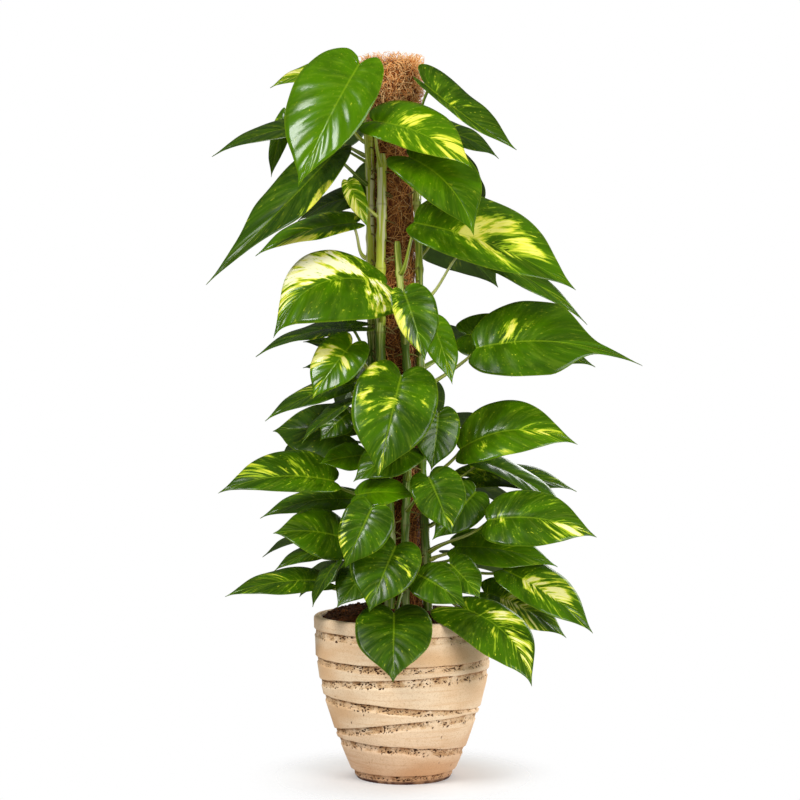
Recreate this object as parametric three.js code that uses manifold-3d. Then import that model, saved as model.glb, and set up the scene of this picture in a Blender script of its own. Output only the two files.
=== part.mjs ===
// Potted golden pothos: a climbing aroid on a coir pole, in a cream stoneware pot made of overlapping slabs.
// Millimetres, +Z up, origin on the pot's axis at its foot. The viewer stands on the -Y side.
import * as THREE from "three";
import { mergeVertices } from "three/addons/utils/BufferGeometryUtils.js";
import Module from "manifold-3d";

const wasm = await Module();
wasm.setup();

// Driving dimensions
const CLEARANCE = 0.3;
const POT_HEIGHT = 193;
const POT_WALL = 9;
const POT_FLOOR = 15;
const POT_SIDES = 32;
const LEDGE_PROUD = 1.2;
const LEDGE_RECESS = 1.5;
const LEDGE_STRIP = 11;
const SOIL_WALL_HEIGHT = 183;
const SOIL_MOUND = 18;
const POLE_RADIUS = 24;
const POLE_BASE = 40;
const POLE_TOP = 862;
const POLE_HEAD_RADIUS = 38;
const POLE_HEAD_BASE = 806;
const POLE_LEAN = 0.0235;
const LEAN_START = 190;
const STAKE_RADIUS = 8;
const STAKE_TOP = 846;
const COIR_SIDES = 20;
const SOIL_SIDES = 32;
const STAKE_SIDES = 12;
const VINE_BASE = 150;
const VINE_GAP = 1.2;
const VINE_STEP = 34;
const VINE_SIDES = 6;
const BLADE_THICKNESS = 1;
const BLADE_ROWS = 7;
const SMALL_BLADE_ROWS = 6;
const SMALL_WIDTH = 70;
const BLADE_COLUMNS = 2;
const BLADE_CROWN = 0.16;
const BLADE_WAVE = 1.4;
const PETIOLE_SIDES = 3;
const PETIOLE_STEPS = 3;
const HEEL_LENGTH = 2;
const HEEL_GAP = 0.2;
const PETIOLE_ROOT_RADIUS = 3.2;
const PETIOLE_TOP_RADIUS = 2.4;
const PETIOLE_SWING = 1.25;
const PETIOLE_END = 3;
const RIB_POWER = 1.6;
const LOBE_SHIFT = 0.21;
const TAIL_START = 0.45;
const TAIL_END = 0.75;

// Outer wall of the pot without its ledges, as [height, radius], from the foot to the rim
const POT_OUTLINE = [
  [0, 56],
  [12, 63],
  [30, 71.5],
  [54, 81],
  [90, 93],
  [114, 99.5],
  [145, 104.5],
  [178, 106.5],
  [193, 106.5],
];

// Lower edges of the slabs: mean height, rise and the bearing in degrees of their highest point
const LEDGES = [
  { height: 11, rise: 0, bearing: 0 },
  { height: 42.5, rise: 7.5, bearing: -50 },
  { height: 67, rise: 14, bearing: 45 },
  { height: 92.5, rise: 8, bearing: -70 },
  { height: 123.5, rise: 8.5, bearing: 45 },
  { height: 146, rise: 1.5, bearing: 180 },
  { height: 178, rise: 0, bearing: 0 },
];

// Half of a blade's margin from the notch at the petiole round the lobe to the tip,
// as shares of the blade's length and of half its width
const MARGIN = [
  [0, 0],
  [-0.11, 0.14],
  [-0.17, 0.42],
  [-0.09, 0.77],
  [0.1, 0.97],
  [0.31, 1],
  [0.52, 0.9],
  [0.69, 0.65],
  [0.82, 0.33],
  [0.92, 0.1],
  [1, 0],
];

// Climbing stems on the pole: bearing round the pole in degrees, sway of that bearing, top height,
// and radius at the soil and at the top
const VINES = {
  vine_left: { bearing: -78, sway: 8, top: 772, low: 5.5, high: 4 },
  vine_front_left: { bearing: -34, sway: 7, top: 745, low: 5.5, high: 4.5 },
  vine_front: { bearing: 14, sway: 9, top: 640, low: 5, high: 4 },
  vine_right: { bearing: 68, sway: 8, top: 770, low: 5.5, high: 4 },
  vine_back_right: { bearing: 138, sway: 9, top: 760, low: 5, high: 3.8 },
  vine_back_left: { bearing: -140, sway: 9, top: 775, low: 5, high: 3.8 },
};

// Leaves, from the top down: stem, height of the root on the stem, petiole joint, tip, width,
// [bearing, tilt] that the blade faces, and [arch, fold in degrees, sideways bend, and where it matters
// how much wider the first half is than the second, share of the full lobes, slenderness of the drip tip]
const LEAVES = [
  ["vine_left", 728, [-51, -78, 839], [-120, -118, 692], 102, [-12, 16], [0.05, 8, 0, 0.2, 0.6]],
  ["vine_left", 758, [-83, -25, 843], [-159, -15, 822], 44, [-20, 50], [0.06, 12, 0]],
  ["vine_left", 742, [-95, -14, 778], [-230, 0, 742], 64, [-24, 58], [0.06, 12, 0.03]],
  ["vine_back_left", 735, [-144, 28, 793], [-161, 30, 721], 28, [-30, 20], [0.03, 10, 0]],
  ["vine_left", 708, [-80, -40, 742], [-228, -85, 583], 88, [-34, 36], [0.03, 14, -0.05, 0, 0.5, 0.4]],
  ["vine_left", 620, [-57, -8, 662], [-177, -10, 622], 66, [-20, 55], [0.08, 10, 0, 0.12, 0.5]],
  ["vine_back_left", 650, [-52, 46, 700], [-132, 82, 672], 62, [-30, 50], [0.08, 10, 0]],
  ["vine_front_left", 668, [-66, -50, 708], [-42, -56, 652], 26, [15, 5], [0.04, 16, 0, 0, 0.3]],
  ["vine_front_left", 728, [-35, -84, 772], [79, -106, 714], 80, [8, 36], [0.09, 8, 0.03, -0.2, 0.6]],
  ["vine_right", 690, [7, -70, 732], [80, -112, 637], 80, [6, 24], [0.05, 10, 0.1, -0.1, 0.7]],
  ["vine_right", 755, [27, -58, 817], [134, -30, 746], 62, [30, 40], [0, 20, -0.04, -0.3, 0.9]],
  ["vine_back_right", 740, [34, 30, 781], [117, 48, 746], 62, [30, 50], [0.08, 10, 0]],
  ["vine_front", 600, [11, -60, 657], [199, -82, 577], 112, [8, 36], [0.05, 8, 0.03, -0.3, 0.2]],
  ["vine_right", 570, [67, 4, 633], [222, 14, 541], 52, [20, 52], [0.07, 10, 0, 0, 0.8]],
  ["vine_front_left", 545, [-20, -76, 584], [-149, -104, 521], 122, [-8, 38], [0.12, 8, 0.2, -0.14, 0.3]],
  ["vine_front", 518, [0, -130, 572], [24, -140, 494], 54, [14, 14], [0.05, 14, 0, -0.2, 0.6]],
  ["vine_right", 505, [32, -76, 542], [56, -92, 468], 42, [24, 10], [0.05, 12, 0, 0, 0.6]],
  ["vine_right", 490, [77, 18, 529], [233, 26, 490], 100, [16, 50], [0.08, 10, 0, 0.1, 0.6]],
  ["vine_right", 465, [85, -42, 511], [280, -52, 490], 108, [4, 30], [0.07, 8, 0.06, -0.1, 0.3, 0.75]],
  ["vine_left", 505, [-57, -22, 537], [-175, -32, 501], 74, [-15, 74], [0.08, 10, 0]],
  ["vine_left", 480, [-60, -76, 515], [-105, -96, 451], 62, [-18, 15], [0.05, 12, 0, 0, 0.8]],
  ["vine_back_left", 480, [-62, 12, 507], [-121, 5, 520], 42, [-20, 60], [0.06, 10, 0]],
  ["vine_left", 445, [-68, 24, 485], [-122, 22, 489], 42, [-20, 60], [0.08, 10, 0]],
  ["vine_left", 415, [-62, -20, 469], [-164, -30, 425], 62, [-15, 66], [0.07, 10, 0, 0, 0.6]],
  ["vine_left", 398, [-64, -84, 446], [-117, -98, 400], 44, [-60, 45], [0.06, 14, 0]],
  ["vine_back_left", 370, [-65, 0, 407], [-159, 30, 412], 88, [-20, 42], [0.08, 10, 0]],
  ["vine_left", 330, [-81, -60, 355], [-215, -76, 342], 66, [-8, 40], [0.08, 10, 0.05, 0.25, 0.4]],
  ["vine_front_left", 430, [-3, -92, 478], [-29, -134, 363], 98, [0, 18], [0.05, 10, 0, 0, 0.8]],
  ["vine_front", 398, [40, -68, 434], [32, -84, 369], 56, [14, 15], [0.05, 10, 0]],
  ["vine_right", 355, [66, -46, 392], [203, -62, 398], 84, [4, 36], [0.14, 10, 0.08, -0.12, 0.3]],
  ["vine_right", 335, [90, -8, 378], [199, -18, 307], 62, [50, 52], [0.08, 12, 0]],
  ["vine_right", 270, [96, -84, 311], [221, -104, 293], 80, [4, 36], [0.1, 8, 0.04, 0, 0.3]],
  ["vine_front", 320, [29, -106, 361], [54, -132, 299], 62, [5, 20], [0.06, 10, 0, -0.12, 0.9]],
  ["vine_right", 300, [85, -44, 342], [33, -80, 288], 54, [10, 22], [0.06, 10, 0, 0, 0.6]],
  ["vine_front", 356, [6, -74, 394], [-58, -92, 356], 64, [0, 48], [0.07, 10, 0]],
  ["vine_left", 298, [-55, -84, 340], [15, -104, 339], 52, [0, 50], [0.09, 10, 0, 0, 0.4]],
  ["vine_front_left", 285, [-36, -118, 328], [-66, -138, 261], 60, [-8, 10], [0.05, 10, 0, -0.1, 0.7]],
  ["vine_front_left", 245, [-9, -106, 283], [-39, -146, 212], 80, [-4, 26], [0.06, 10, 0, 0.08, 0.8]],
  ["vine_left", 244, [-34, -84, 260], [-76, -118, 214], 58, [-14, 30], [0.06, 10, 0]],
  ["vine_front", 225, [-11, -106, 206], [-12, -162, 136], 88, [0, 34], [0.07, 8, 0]],
  ["vine_right", 225, [71, -74, 208], [145, -126, 126], 80, [24, 34], [0.07, 8, 0.12, 0.14, 1]],
  ["vine_front", 250, [17, -112, 251], [70, -142, 218], 54, [8, 32], [0.07, 10, 0, 0, 0.5]],
  ["vine_right", 245, [117, -50, 251], [220, -70, 179], 76, [24, 44], [0.08, 10, 0, -0.1, 0.4]],
  ["vine_back_right", 235, [96, -20, 222], [193, -26, 168], 74, [24, 50], [0.08, 10, 0, 0, 0.5]],
  ["vine_right", 260, [62, -30, 276], [182, -36, 253], 74, [14, 56], [0.08, 10, 0, 0, 0.5]],
  ["vine_left", 258, [-71, -58, 289], [-151, -82, 296], 74, [-24, 36], [0.1, 10, 0, -0.05, 0.8]],
  ["vine_left", 292, [-63, -10, 332], [-171, -14, 309], 62, [-20, 62], [0.08, 10, 0]],
  ["vine_left", 217, [-99, -56, 239], [-207, -74, 222], 52, [-14, 58], [0.07, 10, 0]],
  ["vine_left", 240, [-80, -93, 260], [-104, -110, 214], 38, [-60, 14], [0.05, 12, 0]],
];

// Leaves that stay joined to their stem, most of them behind the pole
const SIDE_LEAVES = [
  ["vine_back_left", 745, [-44, 52, 812], [-104, 92, 735], 84, [-128, 30], [0.07, 10, 0]],
  ["vine_back_right", 722, [54, 70, 762], [98, 108, 684], 92, [112, 22], [0.06, 8, 0]],
  ["vine_back_left", 690, [-14, 84, 736], [-34, 150, 652], 96, [-168, 30], [0.07, 10, 0]],
  ["vine_back_right", 610, [34, 62, 648], [120, 116, 592], 98, [140, 38], [0.08, 8, 0]],
  ["vine_back_left", 560, [-30, 92, 600], [-96, 158, 532], 92, [-150, 34], [0.07, 10, 0]],
  ["vine_back_right", 500, [54, 84, 538], [138, 130, 480], 84, [118, 30], [0.06, 10, 0]],
  ["vine_back_left", 470, [-34, 66, 512], [-84, 112, 428], 76, [-122, 20], [0.05, 10, 0]],
  ["vine_back_right", 430, [8, 104, 470], [12, 172, 392], 88, [178, 34], [0.08, 8, 0]],
  ["vine_back_right", 395, [48, 66, 428], [136, 108, 396], 74, [128, 44], [0.08, 10, 0]],
  ["vine_back_left", 365, [-70, 62, 400], [-158, 104, 372], 78, [-126, 40], [0.08, 10, 0]],
  ["vine_back_right", 315, [66, 56, 352], [150, 108, 300], 88, [122, 32], [0.07, 10, 0]],
  ["vine_back_left", 300, [-18, 88, 338], [-50, 148, 262], 92, [-160, 26], [0.06, 8, 0]],
  ["vine_back_left", 255, [-76, 52, 290], [-176, 88, 254], 56, [-120, 36], [0.07, 10, 0]],
  ["vine_back_right", 245, [70, 70, 262], [156, 112, 212], 80, [130, 34], [0.07, 10, 0]],
  ["vine_back_right", 218, [4, 104, 240], [16, 168, 164], 86, [172, 32], [0.07, 8, 0]],
  ["vine_back_left", 225, [-72, 84, 244], [-132, 128, 200], 72, [-140, 34], [0.07, 10, 0]],
  ["vine_left", 385, [-66, -34, 434], [-98, -44, 402], 44, [-20, 30], [0.05, 10, 0]],
  ["vine_front_left", 345, [-50, -54, 385], [-98, -70, 376], 42, [0, 40], [0.05, 10, 0]],
  ["vine_back_right", 330, [84, 26, 357], [212, 42, 338], 66, [20, 62], [0.08, 10, 0]],
  ["vine_right", 235, [54, -76, 260], [88, -96, 222], 50, [22, 24], [0.05, 10, 0]],
  ["vine_left", 240, [-83, -18, 274], [-153, -34, 248], 44, [-15, 66], [0.08, 10, 0]],
];

const DEGREE = Math.PI / 180;

// Solids

function solidOf(geometry) {
  geometry.deleteAttribute("normal");
  geometry.deleteAttribute("uv");
  const merged = mergeVertices(geometry, 1e-4);
  const index = merged.index.array;
  const corners = [];
  for (let place = 0; place < index.length; place += 3) {
    const [a, b, c] = index.slice(place, place + 3);
    if (a !== b && b !== c && c !== a) corners.push(a, b, c);
  }
  return new wasm.Manifold(
    new wasm.Mesh({
      numProp: 3,
      vertProperties: merged.attributes.position.array,
      triVerts: new Uint32Array(corners),
    }),
  );
}

function meshOf(solid, name, colour, roughness) {
  const { numProp, vertProperties, triVerts } = solid.getMesh();
  const geometry = new THREE.BufferGeometry();
  const corners = new THREE.InterleavedBuffer(vertProperties, numProp);
  geometry.setAttribute("position", new THREE.InterleavedBufferAttribute(corners, 3, 0));
  geometry.setIndex(new THREE.BufferAttribute(triVerts, 1));
  const facets = geometry.toNonIndexed();
  facets.computeVertexNormals();
  const finish = new THREE.MeshStandardMaterial({ color: colour, roughness, metalness: 0 });
  const mesh = new THREE.Mesh(facets, finish);
  mesh.name = name;
  return mesh;
}

// A closed skin over rings of points, each ring listed anticlockwise seen from the last ring
function skinOf(rings) {
  const sides = rings[0].length;
  const positions = rings.flat().flatMap((point) => [point.x, point.y, point.z]);
  const faces = [];
  for (let ring = 0; ring < rings.length - 1; ring += 1) {
    for (let side = 0; side < sides; side += 1) {
      const a = ring * sides + side;
      const b = ring * sides + ((side + 1) % sides);
      faces.push(a, b, b + sides, a, b + sides, a + sides);
    }
  }
  const last = (rings.length - 1) * sides;
  for (let side = 1; side < sides - 1; side += 1) {
    faces.push(0, side + 1, side, last, last + side, last + side + 1);
  }
  const geometry = new THREE.BufferGeometry();
  geometry.setAttribute("position", new THREE.Float32BufferAttribute(positions, 3));
  geometry.setIndex(faces);
  return geometry;
}

// A tapered round stalk through a list of points
function stalk(points, radiusAt, sides) {
  const across = new THREE.Vector3();
  const rings = points.map((point, index) => {
    const before = points[Math.max(index - 1, 0)];
    const after = points[Math.min(index + 1, points.length - 1)];
    const along = after.clone().sub(before).normalize();
    if (index === 0) {
      across.set(1, 0, 0);
      if (Math.abs(along.x) > 0.8) across.set(0, 1, 0);
    }
    across.addScaledVector(along, -across.dot(along)).normalize();
    const other = along.clone().cross(across);
    const radius = radiusAt(index / (points.length - 1));
    return Array.from({ length: sides }, (_, side) => {
      const turn = (2 * Math.PI * side) / sides;
      return point
        .clone()
        .addScaledVector(across, radius * Math.cos(turn))
        .addScaledVector(other, radius * Math.sin(turn));
    });
  });
  return skinOf(rings);
}

// Height or radius read off a list of [place, value] pairs by straight lines
function readOff(pairs, place) {
  const next = Math.max(1, pairs.findIndex(([start]) => start >= place));
  const [start, low] = pairs[next - 1];
  const [end, high] = pairs[next];
  return THREE.MathUtils.mapLinear(THREE.MathUtils.clamp(place, start, end), start, end, low, high);
}

// Pot

function ledgeHeight(ledge, turn) {
  return ledge.height + ledge.rise * Math.cos(turn - ledge.bearing * DEGREE);
}

// Each row of the pot's closed profile gives [radius, height] for a bearing
function potRows() {
  const wall = (height) => readOff(POT_OUTLINE, height);
  const rows = [() => [0, 0], () => [wall(0), 0]];
  for (const ledge of LEDGES) {
    const strip = Math.min(LEDGE_STRIP, ledge.height * 0.5);
    const stops = [
      [-strip, 0],
      [-1, -LEDGE_RECESS],
      [1, LEDGE_PROUD],
    ];
    for (const [rise, proud] of stops) {
      rows.push((turn) => {
        const height = ledgeHeight(ledge, turn) + rise;
        return [wall(height) + proud, height];
      });
    }
  }
  const rim = wall(POT_HEIGHT);
  rows.push(() => [rim + 1.5, POT_HEIGHT - 3]);
  rows.push(() => [rim - 1, POT_HEIGHT]);
  rows.push(() => [rim - POT_WALL + 3, POT_HEIGHT]);
  rows.push(() => [rim - POT_WALL, POT_HEIGHT - 3]);
  for (const height of [SOIL_WALL_HEIGHT, 145, 90, 54, POT_FLOOR]) {
    rows.push(() => [wall(height) - POT_WALL, height]);
  }
  rows.push(() => [0, POT_FLOOR]);
  return rows;
}

// A round body turned about the axis, from rows that give [radius, height] for each bearing
function turned(rows, sides) {
  const places = rows.map(() => new THREE.Vector2(1, 0));
  const geometry = new THREE.LatheGeometry(places, sides);
  const position = geometry.attributes.position;
  for (let index = 0; index < position.count; index += 1) {
    const side = Math.floor(index / rows.length) % sides;
    const turn = (2 * Math.PI * side) / sides;
    const [radius, height] = rows[index % rows.length](turn);
    position.setXYZ(index, radius * Math.sin(turn), -radius * Math.cos(turn), height);
  }
  return geometry;
}

// Coir pole

function leanAt(height) {
  return -POLE_LEAN * (height - LEAN_START);
}

function lean(geometry) {
  const position = geometry.attributes.position;
  for (let index = 0; index < position.count; index += 1) {
    position.setX(index, position.getX(index) + leanAt(position.getZ(index)));
  }
  return geometry;
}

// Rough outer radius of the coir, which swells into a frayed head at the top
function coirRadius(height, turn) {
  const head = THREE.MathUtils.smoothstep(height, POLE_HEAD_BASE - 22, POLE_HEAD_BASE + 14);
  const rough = Math.sin(5 * turn + height * 0.05) * 0.6 + Math.sin(9 * turn - height * 0.11) * 0.4;
  const frayed = Math.sin(7 * turn + 1) * 3 + Math.sin(11 * turn + height * 0.2) * 2;
  return POLE_RADIUS - 1 + rough + head * (POLE_HEAD_RADIUS - POLE_RADIUS + frayed);
}

function coirRows() {
  const bore = STAKE_RADIUS + CLEARANCE;
  const rows = [() => [bore, POLE_BASE], () => [POLE_RADIUS, POLE_BASE], () => [POLE_RADIUS, 215]];
  for (let height = 235; height < POLE_HEAD_BASE; height += 60) {
    rows.push((turn) => [coirRadius(height, turn), height]);
  }
  for (const height of [POLE_HEAD_BASE, POLE_HEAD_BASE + 16, POLE_HEAD_BASE + 34]) {
    rows.push((turn) => [coirRadius(height, turn), height + Math.sin(4 * turn) * 2]);
  }
  rows.push((turn) => [coirRadius(POLE_TOP, turn) - 8, POLE_TOP - 6 + Math.sin(6 * turn) * 4]);
  rows.push((turn) => [POLE_RADIUS - 4, POLE_TOP - 2 + Math.sin(5 * turn + 2) * 4]);
  rows.push(() => [bore, POLE_TOP - 4]);
  return rows;
}

function ringOf(rows) {
  return turned([...rows, rows[0]], COIR_SIDES);
}

function poleHole() {
  const rows = [
    () => [0, POLE_BASE - 8 - CLEARANCE],
    () => [POLE_RADIUS + CLEARANCE, POLE_BASE - 8 - CLEARANCE],
    () => [POLE_RADIUS + CLEARANCE, POT_HEIGHT + 40],
    () => [0, POT_HEIGHT + 40],
  ];
  return solidOf(lean(turned(rows, COIR_SIDES)));
}

// Soil fills the pot and is heaped a little higher towards the left
function soilRows() {
  const inner = (height) => readOff(POT_OUTLINE, height) - POT_WALL - CLEARANCE;
  const rows = [() => [0, POT_FLOOR + CLEARANCE]];
  for (const height of [POT_FLOOR + CLEARANCE, 54, 90, 145, SOIL_WALL_HEIGHT]) {
    rows.push(() => [inner(height), height]);
  }
  for (const radius of [80, 50]) {
    rows.push((turn) => {
      const heap = SOIL_MOUND * (1 - (radius / 100) ** 4);
      const left = 4 * Math.sin(turn - Math.PI) * (radius / 64);
      const clods = Math.sin(3 * turn + radius) * 1.5 + Math.sin(5 * turn - radius * 0.3);
      return [radius, SOIL_WALL_HEIGHT + heap + left + clods];
    });
  }
  rows.push(() => [0, SOIL_WALL_HEIGHT + SOIL_MOUND]);
  return rows;
}

function stakeSolid() {
  const rows = [
    () => [0, POLE_BASE - 8],
    () => [STAKE_RADIUS, POLE_BASE - 8],
    () => [STAKE_RADIUS, STAKE_TOP],
    () => [0, STAKE_TOP],
  ];
  return solidOf(lean(turned(rows, STAKE_SIDES)));
}

// Climbing stems

function vineRadius(vine, height) {
  return THREE.MathUtils.mapLinear(height, VINE_BASE, vine.top, vine.low, vine.high);
}

function vinePoint(vine, height) {
  const turn = (vine.bearing + vine.sway * Math.sin(height / 70 + vine.bearing)) * DEGREE;
  const reach = POLE_RADIUS + VINE_GAP + vineRadius(vine, height);
  return new THREE.Vector3(leanAt(height) + reach * Math.sin(turn), -reach * Math.cos(turn), height);
}

function vinePath(vine) {
  const steps = Math.round((vine.top - VINE_BASE) / VINE_STEP);
  return Array.from({ length: steps + 1 }, (_, step) =>
    vinePoint(vine, THREE.MathUtils.lerp(VINE_BASE, vine.top, step / steps)),
  );
}

function vineSolid(vine, spare) {
  const path = vinePath(vine);
  const radiusAt = (share) => THREE.MathUtils.lerp(vine.low, vine.high, share) + spare;
  path[0].z -= spare;
  return solidOf(stalk(path, radiusAt, VINE_SIDES));
}

// Where a petiole leaves its stem: a point on the stem's skin and the way out of it
function rootOn(vine, height, joint) {
  const path = vinePath(vine);
  const above = path.findIndex((point) => point.z > height);
  const share = (height - path[above - 1].z) / (path[above].z - path[above - 1].z);
  const centre = path[above - 1].clone().lerp(path[above], share);
  const climb = path[above].clone().sub(path[above - 1]).normalize();
  const outward = new THREE.Vector3(centre.x - leanAt(height), centre.y, 0).normalize();
  const aside = new THREE.Vector3(-outward.y, outward.x, 0);
  const toward = joint.clone().sub(centre);
  const swing = Math.atan2(toward.dot(aside), toward.dot(outward));
  const turn = THREE.MathUtils.clamp(swing, -PETIOLE_SWING, PETIOLE_SWING);
  const way = outward.multiplyScalar(Math.cos(turn)).addScaledVector(aside, Math.sin(turn));
  way.addScaledVector(climb, -way.dot(climb)).normalize();
  return { centre, way, radius: vineRadius(vine, height) };
}

// Leaves

const margin = new THREE.SplineCurve(MARGIN.map(([along, across]) => new THREE.Vector2(along, across)));

function leafFrame(joint, tip, [bearing, tilt]) {
  const along = tip.clone().sub(joint);
  const length = along.length();
  along.normalize();
  const flat = Math.cos(tilt * DEGREE);
  const up = new THREE.Vector3(
    flat * Math.sin(bearing * DEGREE),
    -flat * Math.cos(bearing * DEGREE),
    Math.sin(tilt * DEGREE),
  );
  up.addScaledVector(along, -up.dot(along)).normalize();
  const side = along.clone().cross(up);
  const sag = side.clone().multiplyScalar(side.z < 0 ? -1 : 1);
  return { joint, along, up, side, sag, length };
}

// A place on the blade's middle surface, at a share of its length and of half its width
function bladePoint(frame, width, [arch, fold, bend, skew = 0], along, across) {
  const half = width / 2;
  const out = across * half * (1 + skew * Math.sign(across));
  const hump = 4 * along * (1 - along) * frame.length;
  const ripple = BLADE_WAVE * across * across * Math.sin(9 * along + (across > 0 ? 0 : 1.3));
  const crown = (BLADE_CROWN * out * out) / half;
  const rise = Math.abs(out) * Math.sin(fold * DEGREE) - crown + ripple;
  return frame.joint
    .clone()
    .addScaledVector(frame.along, along * frame.length)
    .addScaledVector(frame.up, arch * hump + rise)
    .addScaledVector(frame.sag, bend * hump)
    .addScaledVector(frame.side, out * Math.cos(fold * DEGREE));
}

// The margin's place along and across, with this leaf's own lobes and drip tip
function edgePoint([, , , , lobe = 1, tail = 0], share) {
  const edge = margin.getPoint(share);
  edge.x += (1 - lobe) * LOBE_SHIFT * Math.sin(2 * Math.PI * Math.min(share, 0.5));
  edge.y *= 1 - tail * THREE.MathUtils.smoothstep(edge.x, TAIL_START, TAIL_END);
  return edge;
}

// The blade: rows from the midrib out to the margin, the same triangles on both faces
function bladeSolid(frame, width, curve) {
  const columns = 2 * BLADE_COLUMNS + 1;
  const rows = width < SMALL_WIDTH ? SMALL_BLADE_ROWS : BLADE_ROWS;
  const middle = [bladePoint(frame, width, curve, 0, 0)];
  for (let row = 1; row < rows; row += 1) {
    const share = row / rows;
    const rib = share ** RIB_POWER;
    const edge = edgePoint(curve, share);
    for (let column = -BLADE_COLUMNS; column <= BLADE_COLUMNS; column += 1) {
      const out = Math.abs(column) / BLADE_COLUMNS;
      const along = THREE.MathUtils.lerp(rib, edge.x, out);
      const across = Math.sign(column) * out * edge.y;
      middle.push(bladePoint(frame, width, curve, along, across));
    }
  }
  middle.push(bladePoint(frame, width, curve, 1, 0));
  const tip = middle.length - 1;
  const faces = [];
  const rim = [0];
  for (let column = 0; column < columns - 1; column += 1) {
    faces.push([0, 1 + column, 2 + column]);
    faces.push([tip, tip - columns + column + 1, tip - columns + column]);
  }
  for (let row = 0; row < rows - 2; row += 1) {
    for (let column = 0; column < columns - 1; column += 1) {
      const a = 1 + row * columns + column;
      const c = a + columns;
      if (column < BLADE_COLUMNS) faces.push([a, c, c + 1], [a, c + 1, a + 1]);
      else faces.push([a, c, a + 1], [a + 1, c, c + 1]);
    }
  }
  for (let row = 0; row < rows - 1; row += 1) rim.push(1 + row * columns);
  rim.push(tip);
  for (let row = rows - 2; row >= 0; row -= 1) rim.push(columns + row * columns);
  const count = middle.length;
  const half = BLADE_THICKNESS / 2;
  const skins = [half, -half].flatMap((offset) =>
    middle.map((point) => point.clone().addScaledVector(frame.up, offset)),
  );
  const index = faces.flatMap(([a, b, c]) => [c, b, a, a + count, b + count, c + count]);
  rim.forEach((a, place) => {
    const b = rim[(place + 1) % rim.length];
    index.push(a, b, a + count, b, b + count, a + count);
  });
  const geometry = new THREE.BufferGeometry();
  geometry.setFromPoints(skins);
  geometry.setIndex(index);
  return solidOf(geometry);
}

function petioleSolid(frame, width, curve, root, sunk) {
  const heel = root.centre.clone().addScaledVector(root.way, sunk ? 0 : root.radius + HEEL_GAP);
  const start = heel.clone().addScaledVector(root.way, HEEL_LENGTH);
  const reach = start.distanceTo(frame.joint);
  const leaving = start.clone().addScaledVector(root.way, 0.25 * reach);
  leaving.z += 0.15 * reach;
  const heading = frame.joint.clone().sub(start).normalize();
  const arriving = frame.joint
    .clone()
    .addScaledVector(heading, -0.3 * reach)
    .addScaledVector(frame.up, -0.2 * reach);
  const end = bladePoint(frame, width, curve, PETIOLE_END / frame.length, 0);
  const route = new THREE.CubicBezierCurve3(start, leaving, arriving, end);
  const radiusAt = (share) => THREE.MathUtils.lerp(PETIOLE_ROOT_RADIUS, PETIOLE_TOP_RADIUS, share);
  return solidOf(stalk([heel, ...route.getPoints(PETIOLE_STEPS)], radiusAt, PETIOLE_SIDES));
}

function leafSolid([stem, height, joint, tip, width, facing, curve], sunk) {
  const frame = leafFrame(new THREE.Vector3(...joint), new THREE.Vector3(...tip), facing);
  const root = rootOn(VINES[stem], height, frame.joint);
  return bladeSolid(frame, width, curve).add(petioleSolid(frame, width, curve, root, sunk));
}

// Assembly

const group = new THREE.Group();
group.name = "potted_golden_pothos";

function place(solid, name, colour, roughness) {
  group.add(meshOf(solid, name, colour, roughness));
}

const potSolid = solidOf(turned(potRows(), POT_SIDES));
let soilSolid = solidOf(turned(soilRows(), SOIL_SIDES)).subtract(poleHole());
for (const vine of Object.values(VINES)) {
  soilSolid = soilSolid.subtract(vineSolid(vine, CLEARANCE));
}

place(potSolid, "pot", "#e6cda6", 0.85);
place(soilSolid, "soil", "#3a241a", 0.95);
place(solidOf(lean(ringOf(coirRows()))), "coir_wrap", "#8a5a36", 0.95);
place(stakeSolid(), "stake", "#6d5138", 0.8);
for (const [name, vine] of Object.entries(VINES)) {
  const own = SIDE_LEAVES.filter(([stem]) => stem === name);
  const grown = own.reduce((solid, leaf) => solid.add(leafSolid(leaf, true)), vineSolid(vine, 0));
  place(grown, name, "#8fa548", 0.5);
}
LEAVES.forEach((leaf, index) => {
  place(leafSolid(leaf, false), `leaf_${String(index + 1).padStart(2, "0")}`, "#3f8a1e", 0.35);
});

export default group;
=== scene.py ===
"""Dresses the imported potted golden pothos: stoneware pot, soil, coir pole, climbing stems and leaves.

Shapes are worked out in millimetres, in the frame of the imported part, and become metres as each mesh is made.
"""

import math

import bpy
import numpy as np
from bpy.props import FloatProperty, FloatVectorProperty, IntProperty, PointerProperty
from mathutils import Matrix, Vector, noise


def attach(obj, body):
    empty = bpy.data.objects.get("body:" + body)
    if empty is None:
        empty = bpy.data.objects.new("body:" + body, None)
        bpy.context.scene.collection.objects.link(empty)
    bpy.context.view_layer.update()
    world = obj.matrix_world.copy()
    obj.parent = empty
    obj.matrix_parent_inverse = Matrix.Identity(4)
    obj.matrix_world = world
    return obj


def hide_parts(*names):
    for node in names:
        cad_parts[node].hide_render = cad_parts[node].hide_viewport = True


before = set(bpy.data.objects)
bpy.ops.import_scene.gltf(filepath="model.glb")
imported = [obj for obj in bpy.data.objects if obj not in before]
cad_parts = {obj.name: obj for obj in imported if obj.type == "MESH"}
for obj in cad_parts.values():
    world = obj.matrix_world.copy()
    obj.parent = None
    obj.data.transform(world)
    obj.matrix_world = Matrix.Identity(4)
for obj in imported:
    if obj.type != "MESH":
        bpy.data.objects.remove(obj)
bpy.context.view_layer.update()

bl_info = {
    "name": "Potted golden pothos",
    "version": (1, 0, 0),
    "blender": (4, 5, 0),
    "location": "View3D > Sidebar > Pothos",
    "description": "Pot, soil, coir pole, stems and leaves of a climbing pothos",
    "category": "Object",
}

MM = 0.001
DEGREE = math.pi / 180

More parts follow.
